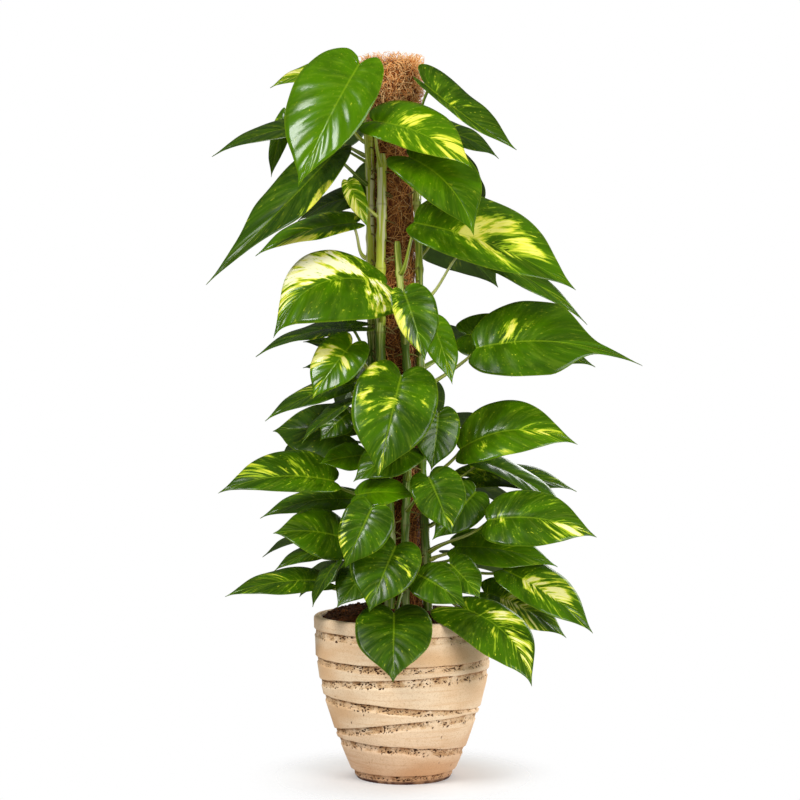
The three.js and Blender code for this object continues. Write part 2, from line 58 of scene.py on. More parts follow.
# Pot: height and outer radius of the wall, from the foot to the rim
POT_OUTLINE = (
    (0, 56), (12, 63), (30, 71.5), (54, 81), (90, 93),
    (114, 99.5), (145, 104.5), (178, 106.5), (193, 106.5),
)
POT_HEIGHT = 193
POT_FLOOR = 15
WALL_LIMIT = 1.2
SOIL_LINE = 183
SOIL_MOUND = 18
SOIL_INSET = 9.3
SOIL_SLOPE = 0.0625
SOIL_SIDES = 180
HEAP_TOP = 200.0

# Lower edges of the slabs: mean height, rise and the bearing in degrees of their highest point
LEDGES = (
    (11, 0, 0),
    (42.5, 7.5, -50),
    (67, 14, 45),
    (92.5, 8, -70),
    (123.5, 8.5, 45),
    (146, 1.5, 180),
    (178, 0, 0),
)

# Coir pole
POLE_RADIUS = 24
POLE_BASE = 40
POLE_TOP = 862
POLE_HEAD_RADIUS = 38
POLE_HEAD_BASE = 806
POLE_LEAN = 0.0235
LEAN_START = 190
STAKE_RADIUS = 8
CORE_SIDES = 96
CORE_STEP = 5.0
FIBRE_START = 150
FIBRE_STEPS = 6
FIBRE_SIDES = 3

# Stems and their aerial roots
VINE_BASE = 150
VINE_GAP = 1.2
VINE_STEP = 4.0
VINE_JOINT_GAP = 38
# These stems get paler lime and cream skin up high, partly their own paler skin and partly painted light on the
# lamp-facing side.
SUNLIT_VINES = ("vine_front_left", "vine_left")
ROOT_START = 210
ROOT_GAP = 27.0
ROOTS_TOGETHER = 2
ROOT_STEPS = 7
ROOT_SIDES = 6

# Each stem: bearing round the pole in degrees, sway of that bearing, top height,
# radius at the soil and radius at the top
VINES = {
    "vine_left": (-78, 8, 772, 5.5, 4),
    "vine_front_left": (-34, 7, 745, 5.5, 4.5),
    "vine_front": (14, 9, 640, 5, 4),
    "vine_right": (68, 8, 770, 5.5, 4),
    "vine_back_right": (138, 9, 760, 5, 3.8),
    "vine_back_left": (-140, 9, 775, 5, 3.8),
}

# Half of a blade's margin from the notch round the lobe to the tip, as shares of length and of half the width
MARGIN = (
    (0, 0), (-0.11, 0.14), (-0.17, 0.42), (-0.09, 0.77), (0.1, 0.97), (0.31, 1),
    (0.52, 0.9), (0.69, 0.65), (0.82, 0.33), (0.92, 0.1), (1, 0),
)

# Blades and their stalks
BLADE_CROWN = 0.16
BLADE_WAVE = 1.4
VEIN_SWEEP = 2.2
VEIN_SPREAD = 1.35
LOBE_SHIFT = 0.21
TAIL = (0.45, 0.75)
PETIOLE_SWING = 1.25
HEEL_LENGTH = 2
HEEL_GAP = 0.2
STALK_STEPS = 22
STALK_SIDES = 10

# Leaves, from the top down: stem, height of the root on the stem, petiole joint, tip, width,
# (bearing, tilt) that the blade faces, and (arch, fold in degrees, sideways bend, and where it matters
# how much wider the first half is than the second, share of the full lobes, slenderness of the drip tip)
LEAVES = (
    ("vine_left", 728, (-51, -78, 839), (-120, -118, 692), 102, (-12, 16), (0.05, 8, 0, 0.2, 0.6)),
    ("vine_left", 758, (-83, -25, 843), (-159, -15, 822), 44, (-20, 50), (0.06, 12, 0)),
    ("vine_left", 742, (-95, -14, 778), (-230, 0, 742), 64, (-24, 58), (0.06, 12, 0.03)),
    ("vine_back_left", 735, (-144, 28, 793), (-161, 30, 721), 28, (-30, 20), (0.03, 10, 0)),
    ("vine_left", 708, (-80, -40, 742), (-228, -85, 583), 88, (-34, 36), (0.03, 14, -0.05, 0, 0.5, 0.4)),
    ("vine_left", 620, (-57, -8, 662), (-177, -10, 622), 66, (-20, 55), (0.08, 10, 0, 0.12, 0.5)),
    ("vine_back_left", 650, (-52, 46, 700), (-132, 82, 672), 62, (-30, 50), (0.08, 10, 0)),
    ("vine_front_left", 668, (-66, -50, 708), (-42, -56, 652), 26, (15, 5), (0.04, 16, 0, 0, 0.3)),
    ("vine_front_left", 728, (-35, -84, 772), (79, -106, 714), 80, (8, 36), (0.09, 8, 0.03, -0.2, 0.6)),
    ("vine_right", 690, (7, -70, 732), (80, -112, 637), 80, (6, 24), (0.05, 10, 0.1, -0.1, 0.7)),
    ("vine_right", 755, (27, -58, 817), (134, -30, 746), 62, (30, 40), (0, 20, -0.04, -0.3, 0.9)),
    ("vine_back_right", 740, (34, 30, 781), (117, 48, 746), 62, (30, 50), (0.08, 10, 0)),
    ("vine_front", 600, (11, -60, 657), (199, -82, 577), 112, (8, 36), (0.05, 8, 0.03, -0.3, 0.2)),
    ("vine_right", 570, (67, 4, 633), (222, 14, 541), 52, (20, 52), (0.07, 10, 0, 0, 0.8)),
    ("vine_front_left", 545, (-20, -76, 584), (-149, -104, 521), 122, (-8, 38), (0.12, 8, 0.2, -0.14, 0.3)),
    ("vine_front", 518, (0, -130, 572), (24, -140, 494), 54, (14, 14), (0.05, 14, 0, -0.2, 0.6)),
    ("vine_right", 505, (32, -76, 542), (56, -92, 468), 42, (24, 10), (0.05, 12, 0, 0, 0.6)),
    ("vine_right", 490, (77, 18, 529), (233, 26, 490), 100, (16, 50), (0.08, 10, 0, 0.1, 0.6)),
    ("vine_right", 465, (85, -42, 511), (280, -52, 490), 108, (4, 30), (0.07, 8, 0.06, -0.1, 0.3, 0.75)),
    ("vine_left", 505, (-57, -22, 537), (-175, -32, 501), 74, (-15, 74), (0.08, 10, 0)),
    ("vine_left", 480, (-60, -76, 515), (-105, -96, 451), 62, (-18, 15), (0.05, 12, 0, 0, 0.8)),
    ("vine_back_left", 480, (-62, 12, 507), (-121, 5, 520), 42, (-20, 60), (0.06, 10, 0)),
    ("vine_left", 445, (-68, 24, 485), (-122, 22, 489), 42, (-20, 60), (0.08, 10, 0)),
    ("vine_left", 415, (-62, -20, 469), (-164, -30, 425), 62, (-15, 66), (0.07, 10, 0, 0, 0.6)),
    ("vine_left", 398, (-64, -84, 446), (-117, -98, 400), 44, (-60, 45), (0.06, 14, 0)),
    ("vine_back_left", 370, (-65, 0, 407), (-159, 30, 412), 88, (-20, 42), (0.08, 10, 0)),
    ("vine_left", 330, (-81, -60, 355), (-215, -76, 342), 66, (-8, 40), (0.08, 10, 0.05, 0.25, 0.4)),
    ("vine_front_left", 430, (-3, -92, 478), (-29, -134, 363), 98, (0, 18), (0.05, 10, 0, 0, 0.8)),
    ("vine_front", 398, (40, -68, 434), (32, -84, 369), 56, (14, 15), (0.05, 10, 0)),
    ("vine_right", 355, (66, -46, 392), (203, -62, 398), 84, (4, 36), (0.14, 10, 0.08, -0.12, 0.3)),
    ("vine_right", 335, (90, -8, 378), (199, -18, 307), 62, (50, 52), (0.08, 12, 0)),
    ("vine_right", 270, (96, -84, 311), (221, -104, 293), 80, (4, 36), (0.1, 8, 0.04, 0, 0.3)),
    ("vine_front", 320, (29, -106, 361), (54, -132, 299), 62, (5, 20), (0.06, 10, 0, -0.12, 0.9)),
    ("vine_right", 300, (85, -44, 342), (33, -80, 288), 54, (10, 22), (0.06, 10, 0, 0, 0.6)),
    ("vine_front", 356, (6, -74, 394), (-58, -92, 356), 64, (0, 48), (0.07, 10, 0)),
    ("vine_left", 298, (-55, -84, 340), (15, -104, 339), 52, (0, 50), (0.09, 10, 0, 0, 0.4)),
    ("vine_front_left", 285, (-36, -118, 328), (-66, -138, 261), 60, (-8, 10), (0.05, 10, 0, -0.1, 0.7)),
    ("vine_front_left", 245, (-9, -106, 283), (-39, -146, 212), 80, (-4, 26), (0.06, 10, 0, 0.08, 0.8)),
    ("vine_left", 244, (-34, -84, 260), (-76, -118, 214), 58, (-14, 30), (0.06, 10, 0)),
    ("vine_front", 225, (-11, -106, 206), (-12, -162, 136), 88, (0, 34), (0.07, 8, 0)),
    ("vine_right", 225, (71, -74, 208), (145, -126, 126), 80, (24, 34), (0.07, 8, 0.12, 0.14, 1)),
    ("vine_front", 250, (17, -112, 251), (70, -142, 218), 54, (8, 32), (0.07, 10, 0, 0, 0.5)),
    ("vine_right", 245, (117, -50, 251), (220, -70, 179), 76, (24, 44), (0.08, 10, 0, -0.1, 0.4)),
    ("vine_back_right", 235, (96, -20, 222), (193, -26, 168), 74, (24, 50), (0.08, 10, 0, 0, 0.5)),
    ("vine_right", 260, (62, -30, 276), (182, -36, 253), 74, (14, 56), (0.08, 10, 0, 0, 0.5)),
    ("vine_left", 258, (-71, -58, 289), (-151, -82, 296), 74, (-24, 36), (0.1, 10, 0, -0.05, 0.8)),
    ("vine_left", 292, (-63, -10, 332), (-171, -14, 309), 62, (-20, 62), (0.08, 10, 0)),
    ("vine_left", 217, (-99, -56, 239), (-207, -74, 222), 52, (-14, 58), (0.07, 10, 0)),
    ("vine_left", 240, (-80, -93, 260), (-104, -110, 214), 38, (-60, 14), (0.05, 12, 0)),
)

# Leaves that belong to their stem's own node, most of them behind the pole
SIDE_LEAVES = (
    ("vine_back_left", 745, (-44, 52, 812), (-104, 92, 735), 84, (-128, 30), (0.07, 10, 0)),
    ("vine_back_right", 722, (54, 70, 762), (98, 108, 684), 92, (112, 22), (0.06, 8, 0)),
    ("vine_back_left", 690, (-14, 84, 736), (-34, 150, 652), 96, (-168, 30), (0.07, 10, 0)),
    ("vine_back_right", 610, (34, 62, 648), (120, 116, 592), 98, (140, 38), (0.08, 8, 0)),
    ("vine_back_left", 560, (-30, 92, 600), (-96, 158, 532), 92, (-150, 34), (0.07, 10, 0)),
    ("vine_back_right", 500, (54, 84, 538), (138, 130, 480), 84, (118, 30), (0.06, 10, 0)),
    ("vine_back_left", 470, (-34, 66, 512), (-84, 112, 428), 76, (-122, 20), (0.05, 10, 0)),
    ("vine_back_right", 430, (8, 104, 470), (12, 172, 392), 88, (178, 34), (0.08, 8, 0)),
    ("vine_back_right", 395, (48, 66, 428), (136, 108, 396), 74, (128, 44), (0.08, 10, 0)),
    ("vine_back_left", 365, (-70, 62, 400), (-158, 104, 372), 78, (-126, 40), (0.08, 10, 0)),
    ("vine_back_right", 315, (66, 56, 352), (150, 108, 300), 88, (122, 32), (0.07, 10, 0)),
    ("vine_back_left", 300, (-18, 88, 338), (-50, 148, 262), 92, (-160, 26), (0.06, 8, 0)),
    ("vine_back_left", 255, (-76, 52, 290), (-176, 88, 254), 56, (-120, 36), (0.07, 10, 0)),
    ("vine_back_right", 245, (70, 70, 262), (156, 112, 212), 80, (130, 34), (0.07, 10, 0)),
    ("vine_back_right", 218, (4, 104, 240), (16, 168, 164), 86, (172, 32), (0.07, 8, 0)),
    ("vine_back_left", 225, (-72, 84, 244), (-132, 128, 200), 72, (-140, 34), (0.07, 10, 0)),
    ("vine_left", 385, (-66, -34, 434), (-98, -44, 402), 44, (-20, 30), (0.05, 10, 0)),
    ("vine_front_left", 345, (-50, -54, 385), (-98, -70, 376), 42, (0, 40), (0.05, 10, 0)),
    ("vine_back_right", 330, (84, 26, 357), (212, 42, 338), 66, (20, 62), (0.08, 10, 0)),
    ("vine_right", 235, (54, -76, 260), (88, -96, 222), 50, (22, 24), (0.05, 10, 0)),
    ("vine_left", 240, (-83, -18, 274), (-153, -34, 248), 44, (-15, 66), (0.08, 10, 0)),
)

# Each leaf's age, gold and cream, from 0 to 1, where it isn't like most. The first number also stands in for
# light: it was raised for leaves that sit in shade and lowered for some others, as painted light and shade.
COMMON_LOOK = (0.35, 0.3, 0.2)
LOOKS = {
    1: (0.8, 0.1, 0.3),
    2: (0.9, 0.75, 0.5),
    3: (0.15, 0.22, 0.1),
    4: (0.5, 0.4, 0.2),
    5: (0.2, 0.15, 0.1),
    6: (0.7, 0.5, 0.2),
    7: (0.1, 0.2, 0.1),
    8: (1, 0.85, 0.4),
    9: (0.85, 0.41, 0.1),
    10: (0.6, 0.2, 0.2),
    11: (0.3, 0.38, 0.2),
    12: (0.1, 0.4, 0.4),
    13: (0.5, 0.42, 0.2),
    14: (0.45, 0.26, 0.1),
    15: (0.6, 0.36, 0.95),
    16: (0.45, 0.4, 0.2),
    17: (0.8, 0.35, 0.1),
    18: (0.2, 0.2, 0.1),
    19: (0.45, 0.18, 0.2),
    20: (0.4, 0.55, 0.4),
    21: (0.7, 0.45, 0.4),
    24: (0.4, 0.5, 0.3),
    25: (0.15, 0.5, 0.2),
    26: (0.1, 0.25, 0.1),
    27: (0.35, 0.35, 0.4),
    28: (0.45, 0.38, 0.3),
    29: (0.3, 0.2, 0.1),
    30: (0.6, 0.34, 0.2),
    31: (0.5, 0.25, 0.1),
    32: (0.45, 0.48, 0.8),
    33: (0.4, 0.35, 0.3),
    35: (0.4, 0.25, 0.2),
    36: (0.8, 0.15, 0.2),
    37: (0.4, 0.3, 0.3),
    38: (0.3, 0.4, 0.2),
    39: (0.4, 0.3, 0.3),
    40: (0.15, 0.2, 0.2),
    41: (0.4, 0.46, 0.6),
    42: (0.35, 0.3, 0.2),
    43: (0.5, 0.52, 0.5),
    44: (0.6, 0.7, 0.6),
    45: (0.8, 0.4, 0.2),
    47: (0.5, 0.35, 0.2),
    48: (0.3, 0.5, 0.5),
    49: (0.1, 0.2, 0.1),
    53: (0.6, 0.6, 0.3),
    54: (0.6, 0.5, 0.3),
    57: (0.6, 0.6, 0.4),
    60: (0.4, 0.55, 0.6),
    67: (0.7, 0.35, 0.2),
    68: (0.3, 0.5, 0.3),
}

# Golden strokes along the veins: vein they follow, breadth, where they start and end across, and strength
STROKES = {
    1: ((0.08, 0.05, -0.25, 0.3, 0.35),),
    2: ((0.5, 0.4, -1, 1, 0.2),),
    5: ((0.37, 0.13, -1.2, -0.78, 0.9),),
    6: ((0.45, 0.3, -1.1, -0.6, 0.6),),
    8: ((0.4, 0.4, 0.2, 1.1, 0.3),),
    9: ((0.45, 0.09, -0.75, -0.1, 0.5), (0.8, 0.15, -1.1, -0.2, 0.6), (0.55, 0.3, 0.3, 1.1, 0.3)),
    11: ((0.5, 0.1, -0.6, 0.2, 0.25),),
    13: ((0.5, 0.07, -0.75, 0.1, 0.65), (0.68, 0.09, -0.7, 0.35, 0.6), (0.56, 0.05, 0.2, 0.7, 0.4)),
    15: (
        (0.46, 0.26, 0.16, 1.1, 1.1),
        (0.33, 0.06, 0.1, 0.6, 0.4),
        (0.2, 0.12, -0.95, 0.1, 0.95),
        (0.5, 0.06, -0.5, 0, 0.3),
    ),
    16: ((0.48, 0.34, 0.5, 1.1, 0.8),),
    17: ((0.6, 0.3, -0.9, 0.9, 0.14),),
    19: ((0.32, 0.09, -0.5, 0.1, 0.8),),
    21: ((0.4, 0.12, 0.4, 1, 0.5), (0.7, 0.15, 0.2, 0.8, 0.4), (0.45, 0.08, -0.7, -0.1, 0.4)),
    27: ((0.62, 0.26, 0, 1.1, 0.5),),
    28: (
        (0.17, 0.06, 0.5, 1.1, 0.6),
        (0.34, 0.05, 0.55, 0.9, 0.6),
        (0.45, 0.07, -0.15, 0.3, 0.5),
        (0.84, 0.12, -0.8, 0.3, 0.4),
    ),
    30: ((0.8, 0.12, -0.9, 0.4, 0.6), (0.35, 0.07, 0.15, 0.6, 0.5)),
    32: ((0.7, 0.15, 0.1, 0.9, 0.5), (0.86, 0.1, -0.5, 0.5, 0.5), (0.24, 0.06, -0.3, 0.15, 0.4)),
    33: ((0.24, 0.06, 0.4, 0.9, 0.5), (0.82, 0.1, -1, -0.1, 0.5)),
    37: ((0.5, 0.25, 0.6, 1.1, 0.7),),
    38: ((0.38, 0.07, -0.8, -0.1, 0.6),),
    41: ((0.6, 0.13, -0.9, -0.1, 0.75), (0.8, 0.1, -0.9, 0.2, 0.6), (0.35, 0.08, -0.7, -0.2, 0.4)),
    43: ((0.43, 0.1, -0.3, 0.5, 0.5), (0.66, 0.12, -0.6, 0.1, 0.55)),
    44: ((0.5, 0.12, -0.6, 0.2, 0.35),),
}

# Seeds of the random draws
SOIL_SEED = 31
POLE_SEED = 41
HEAD_SEED = 43
ROOT_SEED = 61
LEAF_SEED = 1000

# Stage, in metres but for the camera's lens and sensor: the point that the lamps face is AIM,
# and each lamp has its place and its width
CAMERA_PLACE = (-0.0042, -2.2, 0.45)
CAMERA_LENS = 82.5
CAMERA_SENSOR = 36
CAMERA_REACH = 60
AIM = (0, 0, 0.45)
LAMPS = {
    "key": ((-1.7, -1.9, 2.6), 0.9),
    "fill": ((1.7, -1.8, 1.0), 1.4),
    "back": ((1.4, 2.2, 0.7), 2.0),
}
# The floor is a grey disc that fades into the white background close round the pot: a painted shadow under the
# pot, on top of the shadows the lamps cast.
FLOOR_SIDES = 96
FLOOR_SHADOW_FADE = (0.07, 0.2)


def linear(code):
    """The scene's own red, green and blue for a colour written as six hex digits."""
    parts = (int(code[place : place + 2], 16) / 255 for place in (0, 2, 4))
    return tuple(part / 12.92 if part <= 0.04045 else ((part + 0.055) / 1.055) ** 2.4 for part in parts)


def colour(name, description, code):
    """A colour that the user can change."""
    return FloatVectorProperty(
        name=name, description=description, default=linear(code), subtype="COLOR", min=0, max=1
    )


def length(name, description, default, low, high):
    """A length in metres that the user can change, given in millimetres."""
    return FloatProperty(
        name=name,
        description=description,
        default=default * MM,
        min=low * MM,
        max=high * MM,
        subtype="DISTANCE",
        unit="LENGTH",
        precision=4,
    )


def fraction(name, description, default):
    """A fraction from 0 to 1 that the user can change."""
    return FloatProperty(name=name, description=description, default=default, min=0, max=1, subtype="FACTOR")


def power(name, description, default):
    """A lamp's power in watts that the user can change."""
    return FloatProperty(name=name, description=description, default=default, min=0, unit="POWER")


def count(name, description, default, low, high):
    """A number of things that the user can change."""
    return IntProperty(name=name, description=description, default=default, min=low, max=high)


# Settings


class PothosPot(bpy.types.PropertyGroup):
    """Sizes and colours of the stoneware pot."""

    sides: count("Sides", "Facets round the pot", 400, 48, 480)
    wall: length("Wall", "Thickness of the wall", 9, 4, 14)
    proud: length("Ledge", "How far each slab's lower edge stands out", 1.0, 0, 2)
    recess: length("Recess", "Depth of the pitted strip under each slab", 1.6, 0, 3)
    strip: length("Strip", "Height of the pitted strip under each slab", 9, 3, 12)
    pit: length("Pits", "Depth of the open pits", 2.2, 0, 4)
    clay: colour("Clay", "Slip on the smooth slabs", "f3d9b6")
    warm: colour("Warm clay", "Toasted parts of the slabs", "dfb78a")
    strip_clay: colour("Strip clay", "Bare body in the pitted strips", "d3af82")
    # This colour is also multiplied in towards the foot as painted shade.
    stain_and_foot_shade: colour("Stain", "Brown stain right under each slab", "a0652f")
    pit_clay: colour("Pit", "Inside of the pits", "4c2a12")
    burnt: colour("Burnt clay", "Foot of the pot", "4a2419")


class PothosSoil(bpy.types.PropertyGroup):
    """Sizes and colours of the potting soil."""

    crumbs: count("Crumbs", "Loose crumbs on the soil", 700, 0, 1500)
    crumb: length("Crumb", "Largest crumb's radius", 2.6, 1, 5)
    dark: colour("Dark soil", "Damp soil", "3c1d09")
    light: colour("Light soil", "Dry bark and peat", "9c5a28")


class PothosCoir(bpy.types.PropertyGroup):
    """Sizes and colours of the coir pole."""

    fibres: count("Pole fibres", "Fibres laid on the pole", 3600, 0, 6000)
    head_fibres: count("Head fibres", "Fibres of the frayed head", 3600, 0, 6000)
    thickness: length("Fibre", "Radius of one fibre", 0.42, 0.1, 1)
    # Dark coir also colours the matted core, as painted shade under the loose fibres.
    dark: colour("Dark coir", "Deep and damp fibres", "5e2e15")
    middle: colour("Coir", "Most fibres", "dc934c")
    pale: colour("Pale coir", "Sunlit and dry fibres", "f6cf92")


class PothosStems(bpy.types.PropertyGroup):
    """Sizes and colours of the climbing stems and their roots."""

    sides: count("Sides", "Facets round a stem", 16, 6, 32)
    joint: length("Joint", "How far the stem swells at each leaf", 1.1, 0, 3)
    green: colour("Green", "Skin of the stems", "587817")
    lime: colour("Lime", "Young and sunlit skin", "c2cc3e")
    cream: colour("Cream", "Stripes along the stems", "f2efbc")
    brown: colour("Brown", "Scars and old sheaths", "6d4c26")
    root: colour("Root", "Aerial roots", "8b7340")


class PothosLeaves(bpy.types.PropertyGroup):
    """Sizes and colours of the leaves."""

    rows: count("Rows", "Rows of faces along a blade", 72, 12, 96)
    columns: count("Columns", "Columns of faces on each half of a blade", 10, 4, 20)
    thickness: length("Blade", "Thickness beside the midrib", 0.6, 0.2, 1)
    quilting: length("Quilting", "How far the blade rises between side veins", 0.7, 0, 2)
    wave: length("Wave", "Waviness of the margin", 2.2, 0, 6)
    veins: count("Side veins", "Side veins on each half", 10, 3, 16)
    dark: colour("Dark green", "Grown leaves", "254301")
    bright: colour("Bright green", "Young leaves", "487401")
    lime: colour("Lime", "Between green and gold", "92b01a")
    gold: colour("Gold", "Golden patches", "e2de3c")
    cream: colour("Cream", "Palest patches", "f4f1c6")
    under: colour("Underside", "Paler lower face", "557436")


class PothosStage(bpy.types.PropertyGroup):
    """The floor, the light and the camera."""

    # The floor's grey, set against the white background, paints the shadow round the pot.
    floor: colour("Floor", "Pale floor", "e0e0e0")
    key: power("Key", "Power of the main light", 78)
    fill: power("Fill", "Power of the fill light", 50)
    back: power("Back", "Power of the light behind", 58)
    ambient: fraction("Ambient", "Light from all round", 0.54)
    mirrored: fraction("Mirrored", "Brightness of the surroundings in gloss", 0.1)


# Meshes


class Growth:
    """Vertices, faces and marks gathered for one piece."""

    def __init__(self):
        self.points = []
        self.faces = []
        self.finishes = []
        self.marks = {}
        self.count = 0

    def add(self, points, faces, finish=0, **marks):
        """Adds a patch in millimetres, the finish of its faces, and a mark or three for each vertex."""
        points = points.reshape(-1, 3)
        self.points.append(points)
        for group in faces:
            placed = np.asarray(group, int) + self.count
            self.faces += placed.tolist()
            self.finishes += [finish] * len(placed)
        for name, values in marks.items():
            shape = (len(points), 3) if np.ndim(values) and np.shape(values)[-1] == 3 else (len(points),)
            self.marks.setdefault(name, []).append((self.count, np.broadcast_to(values, shape)))
        self.count += len(points)

    def make(self, name, finishes, slot, *stands_for):
        """The piece itself, in metres, riding on the part's one body."""
        points = np.concatenate(self.points) * MM
        mesh = bpy.data.meshes.new(name)
        mesh.from_pydata(points.tolist(), [], self.faces)
        for finish in finishes:
            mesh.materials.append(finish)
        mesh.polygons.foreach_set("material_index", self.finishes)
        mesh.polygons.foreach_set("use_smooth", [True] * len(mesh.polygons))
        for mark, parts in self.marks.items():
            wide = parts[0][1].ndim == 2
            values = np.zeros((self.count, 3) if wide else self.count, np.float32)
            for start, part in parts:
                values[start : start + len(part)] = part
            kind, field = ("FLOAT_VECTOR", "vector") if wide else ("FLOAT", "value")
            mesh.attributes.new(mark, kind, "POINT").data.foreach_set(field, values.ravel())
        mesh.update()
        piece = bpy.data.objects.new(name, mesh)
        bpy.context.scene.collection.objects.link(piece)
        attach(piece, "root")
        if stands_for:
            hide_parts(*stands_for)
        return piece


def unit(vectors):
    """Vectors at length one."""
    return vectors / np.maximum(np.linalg.norm(vectors, axis=-1, keepdims=True), 1e-9)


def dot(one, other):
    """The dot product of each pair of vectors."""
    return np.sum(one * other, axis=-1, keepdims=True)


def sleek(value, low, high):
    """0 below low, 1 above high, and a smooth step between."""
    place = np.clip((value - low) / (high - low), 0, 1)
    return place * place * (3 - 2 * place)


def rumple(points, size, seed=0, octaves=2):
    """Smooth noise from about -1 to 1 at each point, with lumps of that size in millimetres."""
    shift = Vector((seed * 7.3, seed * 3.1, seed * 5.7))
    flat = points.reshape(-1, 3) / size
    values = [noise.fractal(Vector(point) + shift, 1.0, 2.0, octaves) for point in flat]
    return np.array(values).reshape(points.shape[:-1])


def turns(sides):
    """Even turns about an axis, in radians."""
    return 2 * np.pi * np.arange(sides) / sides


def numbered(rings, sides):
    """The numbers of the points of closed rings, a row for each ring."""
    return np.arange(len(rings) * sides).reshape(len(rings), sides)


def tubes(paths, radii, sides):
    """Tubes round many paths of like length: points, faces, and each point's share round and way along."""
    many, steps = paths.shape[:2]
    heading = unit(np.gradient(paths, axis=1))
    across = np.where(np.abs(heading[:, 0, :1]) > 0.8, [0.0, 1.0, 0.0], [1.0, 0.0, 0.0])
    turn = turns(sides)
    cosine, sine = np.cos(turn)[None, :, None], np.sin(turn)[None, :, None]
    rings = []
    for step in range(steps):
        along = heading[:, step]
        across = unit(across - dot(across, along) * along)
        other = np.cross(along, across)
        ring = cosine * across[:, None] + sine * other[:, None]
        rings.append(paths[:, step, None] + radii[:, step, None, None] * ring)
    points = np.stack(rings, axis=1)
    place = np.arange(many * steps * sides).reshape(many, steps, sides)
    after = np.roll(place, -1, axis=2)
    walls = np.stack([place[:, :-1], after[:, :-1], after[:, 1:], place[:, 1:]], axis=-1).reshape(-1, 4)
    caps = np.concatenate([place[:, 0, ::-1], place[:, -1]])
    run = np.cumsum(np.linalg.norm(np.diff(paths, axis=1, prepend=paths[:, :1]), axis=-1), axis=1)
    round_share = np.broadcast_to(turn / (2 * np.pi), (many, steps, sides))
    run = np.broadcast_to(run[..., None], round_share.shape)
    return points.reshape(-1, 3), (walls, caps), round_share.ravel(), run.ravel()


def revolved(rows):
    """Faces between closed rings, each row one ring, open at both ends."""
    after = np.roll(rows, -1, axis=1)
    return np.stack([rows[:-1], after[:-1], after[1:], rows[1:]], axis=-1).reshape(-1, 4)


def triples(x, y, z):
    """Vectors, or marks of three numbers, from each of their numbers."""
    return np.stack(np.broadcast_arrays(x, y, z), axis=-1)


def on_turn(turn, radius, height):
    """Points at a turn about the axis, counted from the viewer's side."""
    return triples(radius * np.sin(turn), -radius * np.cos(turn), height)


def lean_at(height):
    """How far the pole's centre has moved at a height."""
    return -POLE_LEAN * (height - LEAN_START)


# Finishes


class Finish:
    """A material whose node tree is built one step at a time."""

    def __init__(self, name, specular):
        self.material = bpy.data.materials.new(name)
        self.material.use_nodes = True
        self.nodes = self.material.node_tree.nodes
        self.links = self.material.node_tree.links
        self.shader = self.nodes["Principled BSDF"]
        self.shader.inputs["Specular IOR Level"].default_value = specular

    def feed(self, socket, value):
        """Sets a socket to a number or a colour, or links it to another node's output."""
        if isinstance(value, bpy.types.NodeSocket):
            self.links.new(value, socket)
        elif hasattr(value, "__len__") and len(value) == 3 and socket.type == "RGBA":
            socket.default_value = (*value, 1)
        else:
            socket.default_value = value

    def step(self, kind, *values, output=0, **settings):
        """A node with its settings, fed in order, and the output asked for."""
        node = self.nodes.new(kind)
        for name, value in settings.items():
            setattr(node, name, value)
        for place, value in enumerate(values):
            if value is not None:
                self.feed(node.inputs[place], value)
        return node.outputs[output]

    def mark(self, name, output="Fac"):
        """A mark that the piece's vertices carry."""
        return self.step("ShaderNodeAttribute", attribute_name=name, output=output)

    def parts(self, vector):
        """The three numbers of a vector."""
        node = self.nodes.new("ShaderNodeSeparateXYZ")
        self.links.new(vector, node.inputs[0])
        return node.outputs[:]

    def vector(self, x, y, z):
        """A vector from three numbers."""
        return self.step("ShaderNodeCombineXYZ", x, y, z)

    def sum(self, total, *others):
        """Numbers added up."""
        for other in others:
            total = self.work("ADD", total, other)
        return total

    def times(self, product, *others):
        """Numbers multiplied."""
        for other in others:
            product = self.work("MULTIPLY", product, other)
        return product

    def work(self, operation, one, other=None):
        """One step of arithmetic."""
        return self.step("ShaderNodeMath", one, other, operation=operation)

    def blend(self, factor, one, other, mode="MIX"):
        """A colour between two others."""
        node = self.nodes.new("ShaderNodeMix")
        node.data_type = "RGBA"
        node.blend_type = mode
        for place, value in ((0, factor), (6, one), (7, other)):
            self.feed(node.inputs[place], value)
        return node.outputs[2]

    def rise(self, value, low, high, start=0.0, end=1.0):
        """A smooth step from start to end as the value goes from low to high."""
        return self.step("ShaderNodeMapRange", value, low, high, start, end, interpolation_type="SMOOTHSTEP")

    def clouds(self, place, scale, detail=2.0, roughness=0.5):
        """Soft noise from 0 to 1."""
        return self.step("ShaderNodeTexNoise", place, None, scale, detail, roughness)

    def object_place(self, scale=(1, 1, 1)):
        """The place on the piece in metres, stretched along each axis."""
        place = self.step("ShaderNodeTexCoord", output="Object")
        return self.step("ShaderNodeVectorMath", place, scale, operation="MULTIPLY")

    def grain(self, scale, detail=2.0, roughness=0.5, stretch=(1, 1, 1)):
        """Soft noise fixed to the piece, finer along the axes that are stretched more."""
        return self.clouds(self.object_place(stretch), scale, detail, roughness)

    def relief(self, height, strength, distance):
        """Fine relief from a height."""
        bump = self.step("ShaderNodeBump", strength, distance, None, height)
        self.links.new(bump, self.shader.inputs["Normal"])

    def paint(self, shade, roughness):
        """Gives the shader its colour and its roughness."""
        self.feed(self.shader.inputs["Base Color"], shade)
        self.feed(self.shader.inputs["Roughness"], roughness)
        return self.material


